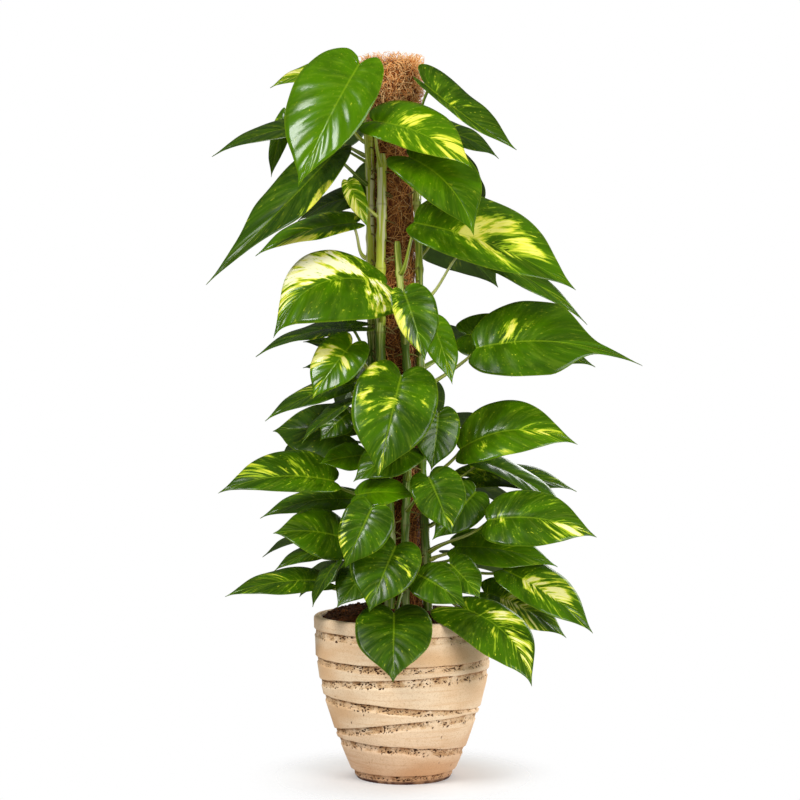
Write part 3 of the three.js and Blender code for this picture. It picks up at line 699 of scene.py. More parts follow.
def stoneware(look):
    """Brushed slip on smooth slabs, bare stained body in the strips, dark open pits, and painted shade
    darkening the pot towards its foot.
    """
    finish = Finish("brushed_stoneware", specular=0.3)
    strip, pit, foot = (finish.mark(name) for name in ("strip", "pit", "foot"))
    _, _, height = finish.parts(finish.object_place())
    brushed = finish.grain(1.0, 3.0, 0.6, (12, 12, 260))
    warm = finish.grain(1.0, stretch=(9, 9, 22))
    grain = finish.grain(420.0, 4.0, 0.75)
    crumbs = finish.grain(300.0, 3.0, 0.65)
    specks = finish.grain(900.0, 2.0, 0.6, (1, 1, 1.6))
    clusters = finish.grain(70.0)
    pinholes = finish.step("ShaderNodeTexVoronoi", finish.object_place((1, 1, 1.7)), None, 300.0)
    slab = finish.blend(finish.rise(warm, 0.42, 0.68), look.clay, look.warm)
    slab = finish.blend(finish.rise(brushed, 0.48, 0.7, 0.0, 0.55), slab, look.warm)
    slab = finish.blend(finish.rise(grain, 0.5, 0.64, 0.0, 0.45), slab, look.strip_clay)
    slab = finish.blend(finish.rise(specks, 0.55, 0.68, 0.0, 0.3), slab, look.stain_and_foot_shade)
    mottled = finish.blend(finish.rise(clusters, 0.36, 0.6), slab, look.strip_clay)
    mottled = finish.blend(finish.rise(crumbs, 0.56, 0.66, 0.0, 0.6), mottled, look.clay)
    body = finish.blend(finish.rise(strip, 0.0, 0.45), slab, mottled)
    patchy = finish.rise(clusters, 0.3, 0.7, -0.25, 0.2)
    bare = finish.sum(strip, patchy, finish.rise(crumbs, 0.4, 0.65, -0.15, 0.15))
    body = finish.blend(finish.rise(bare, 0.45, 0.95, 0.0, 0.65), body, look.stain_and_foot_shade)
    speck = finish.times(finish.rise(specks, 0.56, 0.66), finish.rise(bare, 0.1, 0.7, 0.06, 0.75))
    body = finish.blend(speck, body, look.pit_clay)
    where = finish.times(finish.rise(clusters, 0.42, 0.56), finish.rise(strip, 0.15, 0.5))
    hole = finish.times(finish.rise(pinholes, 0.3, 0.18), where)
    open_pit = finish.work("MAXIMUM", finish.rise(pit, 0.2, 0.55), hole)
    burnt = finish.times(foot, finish.rise(clusters, 0.3, 0.6, 0.5, 1.0))
    shade = finish.blend(burnt, body, look.burnt)
    shade = finish.blend(open_pit, shade, look.pit_clay)
    # Painted shade: towards the foot the pot is multiplied with the stain colour, darker the lower it is, for
    # the shade low on the pot.
    shade = finish.blend(finish.rise(height, 0.0, 0.1, 0.5, 0.0), shade, look.stain_and_foot_shade, mode="MULTIPLY")
    rough = finish.times(grain, finish.rise(strip, 0, 0.5, 0.2, 0.6))
    finish.relief(finish.sum(finish.times(hole, -1.0), rough, finish.times(brushed, 0.3)), 0.5, 0.0008)
    return finish.paint(shade, finish.rise(grain, 0.3, 0.7, 0.72, 0.92))


def soil_finish(look):
    """Dark peat with lighter bark and damp patches."""
    finish = Finish("potting_soil", specular=0.25)
    shade = finish.mark("shade")
    grain = finish.grain(500.0, 3.0, 0.7)
    patches = finish.grain(60.0)
    mixed = finish.sum(finish.times(shade, 0.6), finish.times(grain, 0.5))
    tone = finish.blend(finish.rise(mixed, 0.3, 0.9), look.dark, look.light)
    finish.relief(grain, 0.6, 0.001)
    return finish.paint(tone, finish.rise(patches, 0.35, 0.6, 0.6, 0.95))


def coir_finish(look):
    """Husk fibres from dark brown to straw, each with its own shade."""
    finish = Finish("coir_fibre", specular=0.2)
    shade = finish.mark("shade")
    grain = finish.grain(650.0, 2.0, 0.6)
    mixed = finish.sum(shade, finish.rise(grain, 0.3, 0.7, -0.12, 0.12))
    tone = finish.blend(finish.rise(mixed, 0.05, 0.5), look.dark, look.middle)
    tone = finish.blend(finish.rise(mixed, 0.55, 1.0), tone, look.pale)
    finish.relief(grain, 0.4, 0.0005)
    return finish.paint(tone, finish.rise(grain, 0.2, 0.8, 0.7, 0.95))


def stake_finish():
    """Raw wood with long grain."""
    finish = Finish("stake_wood", specular=0.3)
    grain = finish.grain(1.0, 3.0, 0.6, (260, 260, 9))
    tone = finish.blend(finish.rise(grain, 0.35, 0.65), linear("5a3d26"), linear("a37b52"))
    finish.relief(grain, 0.5, 0.0005)
    return finish.paint(tone, finish.rise(grain, 0.2, 0.8, 0.65, 0.85))


def stem_finish(look):
    """Green skin with long lime and cream stripes, brown at the scars."""
    finish = Finish("stem_skin", specular=0.4)
    turn, run, seed = finish.parts(finish.mark("place", "Vector"))
    scar, young_and_lit, cream = finish.parts(finish.mark("look", "Vector"))

    def marks(round_scale, run_scale, detail=2.0, roughness=0.5):
        place = finish.vector(finish.times(turn, round_scale), finish.times(run, run_scale), seed)
        return finish.clouds(place, 1.0, detail, roughness)

    stripe = marks(9.0, 0.012)
    threads = marks(30.0, 0.03)
    blotches = marks(4.0, 0.09, 3.0, 0.65)
    # The lime here also stands for painted light on the sunlit stems.
    lush = finish.sum(young_and_lit, finish.rise(stripe, 0.35, 0.65, -0.25, 0.25))
    tone = finish.blend(finish.rise(lush, 0.1, 0.9), look.green, look.lime)
    pale = finish.times(finish.rise(stripe, 0.5, 0.6), cream)
    tone = finish.blend(pale, tone, look.cream)
    tone = finish.blend(finish.rise(threads, 0.5, 0.75, 0, 0.35), tone, look.lime)
    worn = finish.sum(scar, finish.rise(blotches, 0.6, 0.75, 0.0, 0.25))
    tone = finish.blend(finish.rise(worn, 0.15, 0.9), tone, look.brown)
    finish.relief(finish.sum(threads, finish.times(blotches, 0.6)), 0.35, 0.0005)
    return finish.paint(tone, finish.rise(worn, 0.2, 0.8, 0.38, 0.75))


def root_finish(look):
    """Woody aerial roots, greener where they leave the stem."""
    finish = Finish("aerial_root", specular=0.3)
    _, run, _ = finish.parts(finish.mark("place", "Vector"))
    grain = finish.grain(420.0, 3.0, 0.6)
    tone = finish.blend(finish.rise(run, 0, 14, 0.75, 0.0), look.root, look.green)
    tone = finish.blend(finish.rise(grain, 0.45, 0.7, 0, 0.6), tone, look.brown)
    finish.relief(grain, 0.5, 0.0005)
    return finish.paint(tone, finish.rise(grain, 0.3, 0.7, 0.6, 0.85))


def blade_finish(look):
    """Waxy green blade with golden and creamy streaks that follow the side veins."""
    finish = Finish("leaf_blade", specular=0.27)
    out, vein, along = finish.parts(finish.mark("place", "Vector"))
    gold, young_and_lit, cream = finish.parts(finish.mark("look", "Vector"))
    under, edge, seed = finish.parts(finish.mark("skin", "Vector"))
    reach = finish.work("ABSOLUTE", out)

    def streaks(across, run, detail, shift, roughness=0.55):
        place = finish.vector(finish.times(vein, across), finish.times(out, run), finish.sum(seed, shift))
        return finish.clouds(place, 1.0, detail, roughness)

    broad = streaks(6.0, 0.022, 3.0, 0.0)
    streak = streaks(34.0, 0.05, 3.0, 4.0)
    fine = streaks(95.0, 0.16, 2.0, 9.0)
    freckle = streaks(60.0, 0.35, 2.0, 0.0, 0.6)
    # This leaf tone also carries each leaf's painted light and shade.
    tone = finish.sum(young_and_lit, finish.rise(broad, 0.3, 0.7, -0.3, 0.26))
    green = finish.blend(finish.rise(tone, 0.0, 1.0), look.dark, look.bright)
    green = finish.blend(finish.rise(streak, 0.45, 0.75, 0, 0.16), green, look.lime)
    bands = finish.rise(broad, 0.3, 0.75, -0.35, 0.35)
    weight = finish.sum(gold, bands, finish.rise(streak, 0.3, 0.7, -0.3, 0.3))
    shade = finish.blend(finish.rise(weight, 0.38, 0.52, 0, 0.8), green, look.lime)
    pale = finish.blend(finish.rise(fine, 0.35, 0.65), look.gold, look.lime)
    pale = finish.blend(finish.rise(weight, 0.55, 0.8), pale, look.gold)
    pale = finish.blend(finish.times(cream, finish.rise(weight, 0.6, 0.9)), pale, look.cream)
    shade = finish.blend(finish.rise(weight, 0.5, 0.64), shade, pale)
    fleck = finish.times(finish.rise(fine, 0.6, 0.7), finish.rise(weight, 0.0, 0.4, 0.15, 0.9))
    shade = finish.blend(fleck, shade, look.lime)
    dots = finish.times(finish.rise(freckle, 0.66, 0.72), finish.rise(weight, -0.3, 0.35, 0.25, 0.95))
    shade = finish.blend(dots, shade, finish.blend(0.5, look.lime, look.gold))
    width = finish.rise(along, 0.0, 1.0, 1.25, 0.35)
    rib = finish.rise(finish.work("DIVIDE", reach, width), 0.5, 1.3, 0.32, 0.0)
    shade = finish.blend(rib, shade, look.lime)
    wavelet = finish.work("COSINE", finish.times(vein, 2 * math.pi * look.veins))
    line = finish.times(finish.rise(wavelet, 0.93, 1.0), finish.rise(reach, 0.5, 4.0))
    shade = finish.blend(finish.times(line, 0.04), shade, look.lime)
    shade = finish.blend(finish.rise(edge, 0.96, 1.0, 0, 0.3), shade, look.lime)
    lower = finish.blend(0.55, shade, look.under)
    shade = finish.blend(under, shade, lower)
    height = finish.sum(finish.times(wavelet, -0.3), finish.times(fine, 0.15), finish.times(streak, 0.4))
    finish.relief(height, 0.25, 0.0007)
    gloss = finish.rise(streak, 0.3, 0.7, 0.28, 0.38)
    finish.paint(shade, finish.sum(gloss, finish.times(under, 0.25), finish.times(young_and_lit, -0.2)))
    glow = finish.blend(0.5, shade, look.gold)
    through = finish.step("ShaderNodeBsdfTranslucent", glow)
    mixed = finish.step("ShaderNodeMixShader", 0.14, finish.shader.outputs[0], through)
    finish.links.new(mixed, finish.nodes["Material Output"].inputs["Surface"])
    return finish.material


# Pot


def wall_at(height):
    """The wall's outer radius at a height, without the slabs."""
    heights, radii = zip(*POT_OUTLINE)
    return np.interp(height, heights, radii)


def ledge_at(ledge, turn):
    """Height of a slab's lower edge at a turn, a little uneven, as cut by hand."""
    height, rise, bearing = ledge
    ring = on_turn(turn, 30.0, height)
    wobble = rumple(ring, 9, seed=height, octaves=3) * (0.9 if rise else 0.5)
    return height + rise * np.cos(turn - bearing * DEGREE) + wobble


def outer_rows(look, turn):
    """Heights and reliefs of the pot's outer rows, laid along the slabs' edges, from the foot up."""
    strip, recess, proud = look.strip / MM, look.recess / MM, look.proud / MM
    edges = [ledge_at(ledge, turn) for ledge in LEDGES]
    floors = [np.zeros_like(turn), *edges[:-1]]
    rows = []
    for edge, floor in zip(edges, floors):
        band = edge - floor
        depth = np.minimum(strip, band * 0.6)
        start = floor + (1.2 if rows else 0.0)
        for share in np.linspace(0, 1, 9)[:-1]:
            height = start + (edge - depth - start) * share
            rows.append((height, proud * 0.8 * np.exp(-(height - floor) / 14), 0.0, 0.0))
        for share, sunk in ((0, -0.15), (0.05, 0.1), (0.15, 0.55), (0.3, 0.8), (0.45, 0.9), (0.6, 0.95)):
            rows.append((edge - depth * (1 - share), -recess * sunk, min(share * 6, 0.5), 1.0))
        for share in (0.7, 0.8, 0.88):
            rows.append((edge - depth * (1 - share), -recess, share, 1.0))
        rows.append((edge - 0.35, -recess, 1.0, 0.6))
        rows.append((edge - 0.1, proud * 0.4, 0.6, 0.0))
        rows.append((edge + 0.35, proud * 0.75, 0.0, 0.0))
    return rows


def pot_mesh(look):
    """The pot's closed skin: slabs, strips and pits outside, a plain wall inside."""
    turn = turns(look.sides)
    wall = look.wall / MM
    rim = wall_at(POT_HEIGHT)
    growth = Growth()
    rings, strips, pits, feet = [], [], [], []

    def ring(radius, height, strip=0.0, pit=0.0, foot=0.0):
        radius, height = np.broadcast_arrays(radius, height + 0 * turn)
        rings.append(on_turn(turn, radius, height))
        for values, value in ((strips, strip), (pits, pit), (feet, foot)):
            values.append(np.broadcast_to(value, turn.shape))

    for radius in (0.5, 20, 45, 54):
        ring(radius, 0.0 if radius > 50 else 0.8, foot=0.7)
    for height, relief, strip, pitted in outer_rows(look, turn):
        places = on_turn(turn, wall_at(height), height)
        coarse = rumple(places, 26, seed=2)
        pocks = rumple(places * (1, 1, 1.5), 2.1, seed=5)
        clusters = rumple(places * (1, 1, 2.2), 16, seed=9)
        pock = sleek(pocks, 0.14, 0.42) * sleek(clusters, -0.45, 0.15) * pitted
        stray = sleek(pocks, 0.62, 0.75) * sleek(clusters, 0.2, 0.5) * (1 - pitted) * 0.8
        pit = np.maximum(pock, stray)
        rough = rumple(places, 3.2, seed=12) * 0.45 * pitted + coarse * 0.45
        low = sleek(height, 6, 2)
        radius = wall_at(height) + relief + rough - pit * look.pit / MM - 0.4 * low
        ring(np.minimum(radius, wall_at(height) + WALL_LIMIT), np.maximum(height, 0.0), strip, pit, low)
    smooth = rumple(on_turn(turn, rim, 186.0), 30, seed=4) * 0.4
    for drop, inset in ((9, -0.9), (5, -1.2), (2.5, -1), (1, -0.1), (0.2, 1.2), (0, 2.9)):
        ring(rim - inset + smooth * 0.5, POT_HEIGHT - drop)
    for drop, rest in ((0, 4), (0.4, 2.2), (1.6, 0.8), (4, 0), (13, 0)):
        ring(rim - wall + rest + smooth * 0.3, POT_HEIGHT - drop)
    for height in (145, 114, 90, 54, POT_FLOOR + 4):
        ring(wall_at(height) - wall, height)
    for radius in (50, 20, 0.5):
        ring(radius, POT_FLOOR)
    rows = numbered(rings, look.sides)
    growth.add(
        np.stack(rings),
        (revolved(rows), [rows[0][::-1]], [rows[-1]]),
        strip=np.concatenate(strips),
        pit=np.concatenate(pits),
        foot=np.concatenate(feet),
    )
    return growth


# Soil


def soil_height(radius, turn):
    """Height of the heaped soil's surface, before its lumps."""
    heap = SOIL_MOUND * (1 - (radius / 100) ** 4)
    return SOIL_LINE + np.where(radius < 95, heap, heap * 0.4) - SOIL_SLOPE * radius * np.sin(turn)


def soil_mesh(look, chance):
    """The heaped soil with its crumbs and bark chips."""
    growth = Growth()
    turn = turns(SOIL_SIDES)
    edge = wall_at(SOIL_LINE) - SOIL_INSET
    top = []
    for radius in (0.5, *np.linspace(3, 92, 44), 95, edge):
        places = on_turn(turn, radius, soil_height(radius, turn))
        lumps = rumple(places, 11, seed=1, octaves=4) * 2.6 + rumple(places, 3.2, seed=3) * 0.9
        places[:, 2] += lumps * min(1, (edge + 3 - radius) / 14)
        places[:, 2] = np.maximum(places[:, 2], SOIL_LINE - 2)
        top.append(places)
    depths = (175, 120, 54, POT_FLOOR + 0.3)
    rings = np.stack([*top, *(on_turn(turn, wall_at(depth) - SOIL_INSET, depth) for depth in depths)])
    rows = numbered(rings, SOIL_SIDES)
    shade = np.clip(0.35 + 0.5 * rumple(rings, 4, seed=8), 0, 1)
    growth.add(rings, (revolved(rows)[:, ::-1], [rows[0]], [rows[-1][::-1]]), shade=shade.ravel())
    corners, facets = ball_shape()
    lean = lean_at(HEAP_TOP)
    for _ in range(look.crumbs):
        radius, around = edge * math.sqrt(chance.random()) * 0.99, chance.random() * 2 * math.pi
        centre = on_turn(around, radius, soil_height(radius, around) + 0.6)
        if math.hypot(centre[0] - lean, centre[1]) < POLE_RADIUS + 1:
            continue
        size = look.crumb / MM * (0.25 + 0.75 * chance.random() ** 2.5)
        stretch = size * (0.6 + 0.7 * chance.random(3))
        bumpy = 1 + 0.22 * chance.standard_normal(len(corners))[:, None]
        spin = chance.random() * math.pi
        x, y, z = (corners * bumpy * stretch).T
        cosine, sine = math.cos(spin), math.sin(spin)
        turned = triples(x * cosine - y * sine, x * sine + y * cosine, z * 0.7)
        growth.add(centre + turned, (facets,), shade=chance.random() ** 1.5)
    return growth


def ball_shape():
    """A coarse ball of radius one: its points and faces."""
    golden = (1 + math.sqrt(5)) / 2
    corners = []
    for one in (-1, 1):
        for two in (-golden, golden):
            corners += [(0, one, two), (one, two, 0), (two, 0, one)]
    corners = np.array(corners, float) / math.hypot(1, golden)
    faces = []
    for a in range(12):
        for b in range(a + 1, 12):
            for c in range(b + 1, 12):
                trio = corners[[a, b, c]]
                if max(np.linalg.norm(trio - np.roll(trio, 1, 0), axis=1)) < 1.2:
                    out = np.dot(np.cross(trio[1] - trio[0], trio[2] - trio[0]), trio[0])
                    faces.append((a, b, c) if out > 0 else (a, c, b))
    return corners, faces


# Coir pole


def coir_radius(height, turn):
    """Radius of the coir, which swells into the frayed head."""
    head = sleek(height, POLE_HEAD_BASE - 22, POLE_HEAD_BASE + 14)
    rough = np.sin(5 * turn + height * 0.05) * 0.6 + np.sin(9 * turn - height * 0.11) * 0.4
    frayed = np.sin(7 * turn + 1) * 2 + np.sin(11 * turn + height * 0.2) * 1.5
    return POLE_RADIUS - 1 + rough + head * (POLE_HEAD_RADIUS - POLE_RADIUS - 3 + frayed)


def coir_core():
    """The matted body under the loose fibres, coloured near the dark coir as painted shade under them."""
    growth = Growth()
    turn = turns(CORE_SIDES)
    rings = [on_turn(turn, STAKE_RADIUS + 0.3, POLE_BASE)]
    for height in np.arange(POLE_BASE, POLE_TOP - 12, CORE_STEP):
        places = on_turn(turn, coir_radius(height, turn) - 1.6, height)
        lumps = rumple(places * (1, 1, 0.5), 5, seed=21, octaves=3)
        rings.append(on_turn(turn, coir_radius(height, turn) - 1.9 + lumps, height))
    for height, inset in ((POLE_TOP - 11, 4), (POLE_TOP - 9, 12), (POLE_TOP - 10, 22)):
        places = on_turn(turn, coir_radius(height, turn) - inset, height)
        places[:, 2] += rumple(places, 6, seed=23) * 2
        rings.append(places)
    rings.append(on_turn(turn, STAKE_RADIUS + 0.3, POLE_TOP - 14))
    points = np.stack(rings)
    points[..., 0] += lean_at(points[..., 2])
    rows = numbered(rings, CORE_SIDES)
    # Painted shade: the core's tone stays low, so it reads as the shade between the loose fibres.
    shade = np.clip(0.16 + 0.12 * rumple(points * (1, 1, 0.3), 3, seed=25), 0, 1)
    growth.add(points, (revolved(np.concatenate([rows, rows[:1]])),), shade=shade.ravel())
    return growth


def fibre_steps(many):
    """The share of the way along each of many fibres."""
    return np.linspace(0, 1, FIBRE_STEPS)[None, :] + np.zeros((many, 1))


def pole_fibres(look, chance):
    """Fibres matted on the pole, running every way but mostly up."""
    growth = Growth()
    many = look.fibres
    share = fibre_steps(many)
    start_turn = chance.random((many, 1)) * 2 * math.pi
    start_height = FIBRE_START + chance.random((many, 1)) * (POLE_HEAD_BASE - 15 - FIBRE_START)
    reach = 12 + 30 * chance.random((many, 1))
    slant = chance.normal(0.5, 0.55, (many, 1)) * math.pi / 2
    curl = chance.normal(0, 0.9, (many, 1))
    angle = slant + curl * (share - 0.5)
    step = reach / (FIBRE_STEPS - 1)
    height = start_height + np.cumsum(np.sin(angle) * step, axis=1)
    turn = start_turn + np.cumsum(np.cos(angle) * step, axis=1) / POLE_RADIUS
    loose = chance.random((many, 1)) ** 3 * 3.2
    lift = np.sin(np.pi * share) * loose * 0.6 + share * loose * 0.5 - 0.5
    height = np.minimum(height, POLE_TOP - 6)
    paths = on_turn(turn, coir_radius(height, turn) + lift, height)
    paths[..., 0] += lean_at(paths[..., 2])
    radii = look.thickness / MM * (0.55 + 0.8 * chance.random((many, 1))) * np.sqrt(1 - 0.75 * share**2)
    points, faces, _, _ = tubes(paths, radii, FIBRE_SIDES)
    low = sleek(start_height[:, 0], 700, 350)
    shade = np.clip(chance.normal(0.5, 0.2, many) - 0.16 * low, 0.02, 1)
    growth.add(points, faces, shade=np.repeat(shade, FIBRE_STEPS * FIBRE_SIDES))
    return growth


def head_fibres(look, chance):
    """The bushy head, where the cut coir stands out in short curly ends."""
    growth = Growth()
    many = look.head_fibres
    share = fibre_steps(many)
    on_top = chance.random((many, 1)) < 0.34
    turn = chance.random((many, 1)) * 2 * math.pi
    side_height = POLE_HEAD_BASE - 18 + chance.random((many, 1)) * 60
    height = np.where(on_top, POLE_TOP - 13, side_height)
    rim = coir_radius(height, turn) - 3
    inner = STAKE_RADIUS + 2 + (rim - STAKE_RADIUS) * np.sqrt(chance.random((many, 1)))
    radius = np.where(on_top, inner, rim)
    start = on_turn(turn, radius, height)
    outward = on_turn(turn, 1.0, 0.0)
    up = np.zeros_like(outward) + (0, 0, 1)
    tangent = np.cross(up, outward)
    spread = chance.normal(0, 1, (many, 1, 3))
    way = np.where(on_top[..., None], up * 0.6 + outward * 0.5, outward * 0.55 + up * 0.2)
    way = unit(way + tangent * spread[..., :1] * 1.1 + up * spread[..., 1:2] * 0.8)
    bend = unit(np.cross(way, unit(chance.normal(0, 1, (many, 1, 3)))))
    reach = 6 + 13 * chance.random((many, 1, 1))
    strength = chance.normal(0, 0.9, (many, 1, 1))
    along = share[..., None]
    paths = start + way * reach * along + bend * reach * strength * along**2 * 0.6
    radial = np.linalg.norm(paths[..., :2], axis=-1)
    limit = POLE_HEAD_RADIUS + 1.5 + 3 * chance.random((many, 1)) ** 4
    paths[..., :2] *= np.minimum(1, limit / np.maximum(radial, 1e-6))[..., None]
    paths[..., 2] = np.minimum(paths[..., 2], POLE_TOP - 1 + 1.4 * chance.random((many, 1)) ** 2)
    paths[..., 0] += lean_at(paths[..., 2])
    radii = look.thickness / MM * (0.6 + 0.7 * chance.random((many, 1))) * np.sqrt(1 - 0.7 * share**2)
    points, faces, _, _ = tubes(paths, radii, FIBRE_SIDES)
    # The head's fibres lean to the pale coir: partly dry cut coir, partly painted light on the top of the pole.
    shade = np.clip(chance.normal(0.76, 0.2, many), 0.1, 1)
    growth.add(points, faces, shade=np.repeat(shade, FIBRE_STEPS * FIBRE_SIDES))
    return growth


# Stems


def vine_radius(vine, height):
    """A stem's radius at a height."""
    _, _, top, low, high = vine
    return low + (high - low) * (height - VINE_BASE) / (top - VINE_BASE)


def vine_point(vine, height):
    """The stem's centre at a height."""
    bearing, sway = vine[:2]
    turn = (bearing + sway * np.sin(height / 70 + bearing)) * DEGREE
    reach = POLE_RADIUS + VINE_GAP + vine_radius(vine, height)
    points = on_turn(turn, reach, height)
    points[..., 0] += lean_at(height)
    return points


def pole_ways(centre, height):
    """The level ways straight out of the pole and round it, from a stem's centre."""
    outward = unit(np.array([centre[0] - lean_at(height), centre[1], 0]))
    return outward, np.array([-outward[1], outward[0], 0])


def petiole_root(vine, height, joint):
    """The stem's centre, the way out of it towards a leaf's joint, and its radius there."""
    centre = vine_point(vine, height)
    climb = unit(vine_point(vine, height + 4) - centre)
    outward, aside = pole_ways(centre, height)
    toward = joint - centre
    swing = np.clip(math.atan2(toward @ aside, toward @ outward), -PETIOLE_SWING, PETIOLE_SWING)
    way = outward * math.cos(swing) + aside * math.sin(swing)
    return centre, unit(way - (way @ climb) * climb), vine_radius(vine, height)


def stem_mesh(look, name, heights, seed):
    """One climbing stem with a swollen, scarred joint at each leaf."""
    vine = VINES[name]
    growth = Growth()
    top = vine[2]
    run = np.arange(VINE_BASE, top + 1, VINE_STEP)
    many = int((top - VINE_BASE) / VINE_JOINT_GAP)
    joints = [*heights, *(VINE_BASE + VINE_JOINT_GAP * step for step in range(1, many))]
    near = np.min(np.abs(np.subtract.outer(run, joints)), axis=1)
    knot = np.exp(-((near / 5.0) ** 2))
    shrink = np.sqrt(np.clip((top + 6 - run) / 14, 0.12, 1))
    sunlit = name in SUNLIT_VINES
    radii = (vine_radius(vine, run) * (1.2 if sunlit else 1) + look.joint / MM * knot) * shrink
    path = vine_point(vine, run)
    points, faces, turn, length_run = tubes(path[None], radii[None], look.sides)
    scar = np.repeat(0.45 * np.exp(-((near / 1.3) ** 2)), look.sides)
    # Higher up on the sunlit stems the skin turns to lime and cream: partly real paler skin, partly painted
    # light.
    sunlit_top = sunlit * sleek(run, 480, 650)
    young_and_lit = np.repeat(np.minimum(0.6 * sleek(run, 350, 750) + 0.7 * sunlit_top, 1), look.sides)
    cream = np.repeat(0.25 + 0.75 * sunlit_top, look.sides)
    growth.add(points, faces, place=triples(turn, length_run, seed), look=triples(scar, young_and_lit, cream))
    return growth


def root_mesh(chance):
    """Short aerial roots that reach from the stems into the coir, and a few that missed it."""
    growth = Growth()
    for vine in VINES.values():
        for height in np.arange(ROOT_START, vine[2] - 20, ROOT_GAP):
            for _ in range(ROOTS_TOGETHER):
                level = height + chance.normal(0, 5)
                centre = vine_point(vine, level)
                outward, aside = pole_ways(centre, level)
                aside *= chance.choice((-1, 1))
                reach = 7 + 9 * chance.random()
                start = centre + aside * vine_radius(vine, level) * 0.7
                middle = start + aside * reach * 0.55 + outward * 1.0
                end = middle + aside * reach * 0.5 - outward * (5 + 2 * chance.random())
                end[2] -= reach * (0.2 + 0.5 * chance.random())
                share = np.linspace(0, 1, ROOT_STEPS)[:, None]
                path = (1 - share) ** 2 * start + 2 * share * (1 - share) * middle + share**2 * end
                radii = 1.25 * (1 - 0.55 * share[:, 0])
                points, faces, turn, run = tubes(path[None], radii[None], ROOT_SIDES)
                growth.add(points, faces, place=triples(turn, run, 0))
    return growth


# Leaves


def margin_at(share):
    """The margin's place along and across at a share of the way from the notch to the tip."""
    ends = np.array([MARGIN[0], *MARGIN, MARGIN[-1]], float)
    place = np.clip(share, 0, 1) * (len(MARGIN) - 1)
    first = np.minimum(place.astype(int), len(MARGIN) - 2)
    rest = (place - first)[..., None]
    a, b, c, d = (ends[first + shift] for shift in range(4))
    slope, next_slope = (c - a) / 2, (d - b) / 2
    return (
        (2 * b - 2 * c + slope + next_slope) * rest**3
        + (-3 * b + 3 * c - 2 * slope - next_slope) * rest**2
        + slope * rest
        + b
    )


class Leaf:
    """One leaf's frame, worked out from its row in the list."""

    def __init__(self, row, number):
        self.stem, self.root, joint, tip, self.width, facing, curve = row
        self.curve = (*curve, *(0, 1, 0)[len(curve) - 3 :])
        self.joint, tip = np.array(joint, float), np.array(tip, float)
        self.length = np.linalg.norm(tip - self.joint)
        self.along = unit(tip - self.joint)
        bearing, tilt = facing[0] * DEGREE, facing[1] * DEGREE
        flat = math.cos(tilt)
        up = np.array([flat * math.sin(bearing), -flat * math.cos(bearing), math.sin(tilt)])
        self.up = unit(up - (up @ self.along) * self.along)
        self.side = np.cross(self.along, self.up)
        self.sag = self.side * (-1 if self.side[2] < 0 else 1)
        self.chance = np.random.default_rng(LEAF_SEED + number)
        self.phases = self.chance.random(4) * 2 * math.pi
        self.look = LOOKS.get(number, COMMON_LOOK)
        self.strokes = STROKES.get(number, ())

    def edge(self, share):
        """The margin's place along and across, with this leaf's own lobes and drip tip."""
        lobe, tail = self.curve[4:]
        margin = margin_at(share)
        margin[..., 0] += (1 - lobe) * LOBE_SHIFT * np.sin(2 * math.pi * np.minimum(share, 0.5))
        margin[..., 1] *= 1 - tail * sleek(margin[..., 0], *TAIL)
        return margin

    def surface(self, along, across, look):
        """Points on the blade's middle surface."""
        arch, fold, bend, skew = self.curve[:4]
        half = self.width / 2
        out = across * half * (1 + skew * np.sign(across))
        hump = 4 * along * (1 - along) * self.length
        wave = np.sin(9 * along + np.where(across > 0, 0, 1.3))
        one, two, three = self.phases[:3]
        extra = np.sin(14 * along + one + np.where(across > 0, 0, two)) + 0.6 * np.sin(23 * along + three)
        size = min(1, self.width / 90)
        ripple = across**2 * (BLADE_WAVE * wave + (look.wave / MM - BLADE_WAVE) * 0.6 * extra * size)
        crown = BLADE_CROWN * out**2 / half
        rise = np.abs(out) * math.sin(fold * DEGREE) - crown + ripple
        return (
            self.joint
            + self.along * (along * self.length)[..., None]
            + self.up * (arch * hump + rise)[..., None]
            + self.sag * (bend * hump)[..., None]
            + self.side * (out * math.cos(fold * DEGREE))[..., None]
        )

    def petiole(self, look, fused):
        """The petiole's path from the stem to the blade."""
        centre, way, radius = petiole_root(VINES[self.stem], self.root, self.joint)
        heel = centre + way * (0 if fused else radius * 0.6)
        start = centre + way * ((0 if fused else radius + HEEL_GAP) + HEEL_LENGTH)
        reach = np.linalg.norm(self.joint - start)
        leaving = start + way * 0.25 * reach + np.array([0, 0, 0.15 * reach])
        heading = unit(self.joint - start)
        arriving = self.joint - heading * 0.3 * reach - self.up * 0.2 * reach
        end = self.surface(np.array(4 / self.length), np.array(0.0), look) - self.up * 1.0
        share = np.linspace(0, 1, STALK_STEPS)[:, None]
        curve = (
            (1 - share) ** 3 * start
            + 3 * share * (1 - share) ** 2 * leaving
            + 3 * share**2 * (1 - share) * arriving
            + share**3 * end
        )
        return np.concatenate([heel[None], curve])


def skin_faces(rows, columns):
    """Faces of one skin, seen from below: a fan at the notch, quads, and a fan at the tip."""
    body = 1 + np.arange((rows - 1) * columns).reshape(rows - 1, columns)
    tip = (rows - 1) * columns + 1
    notch_fan = np.stack([np.zeros(columns - 1, int), body[0, :-1], body[0, 1:]], axis=1)
    tip_fan = np.stack([np.full(columns - 1, tip), body[-1, 1:], body[-1, :-1]], axis=1)
    quads = np.stack([body[:-1, :-1], body[1:, :-1], body[1:, 1:], body[:-1, 1:]], axis=-1).reshape(-1, 4)
    rim = np.concatenate([[0], body[:, 0], [tip], body[::-1, -1]])
    return quads, np.concatenate([notch_fan, tip_fan]), rim


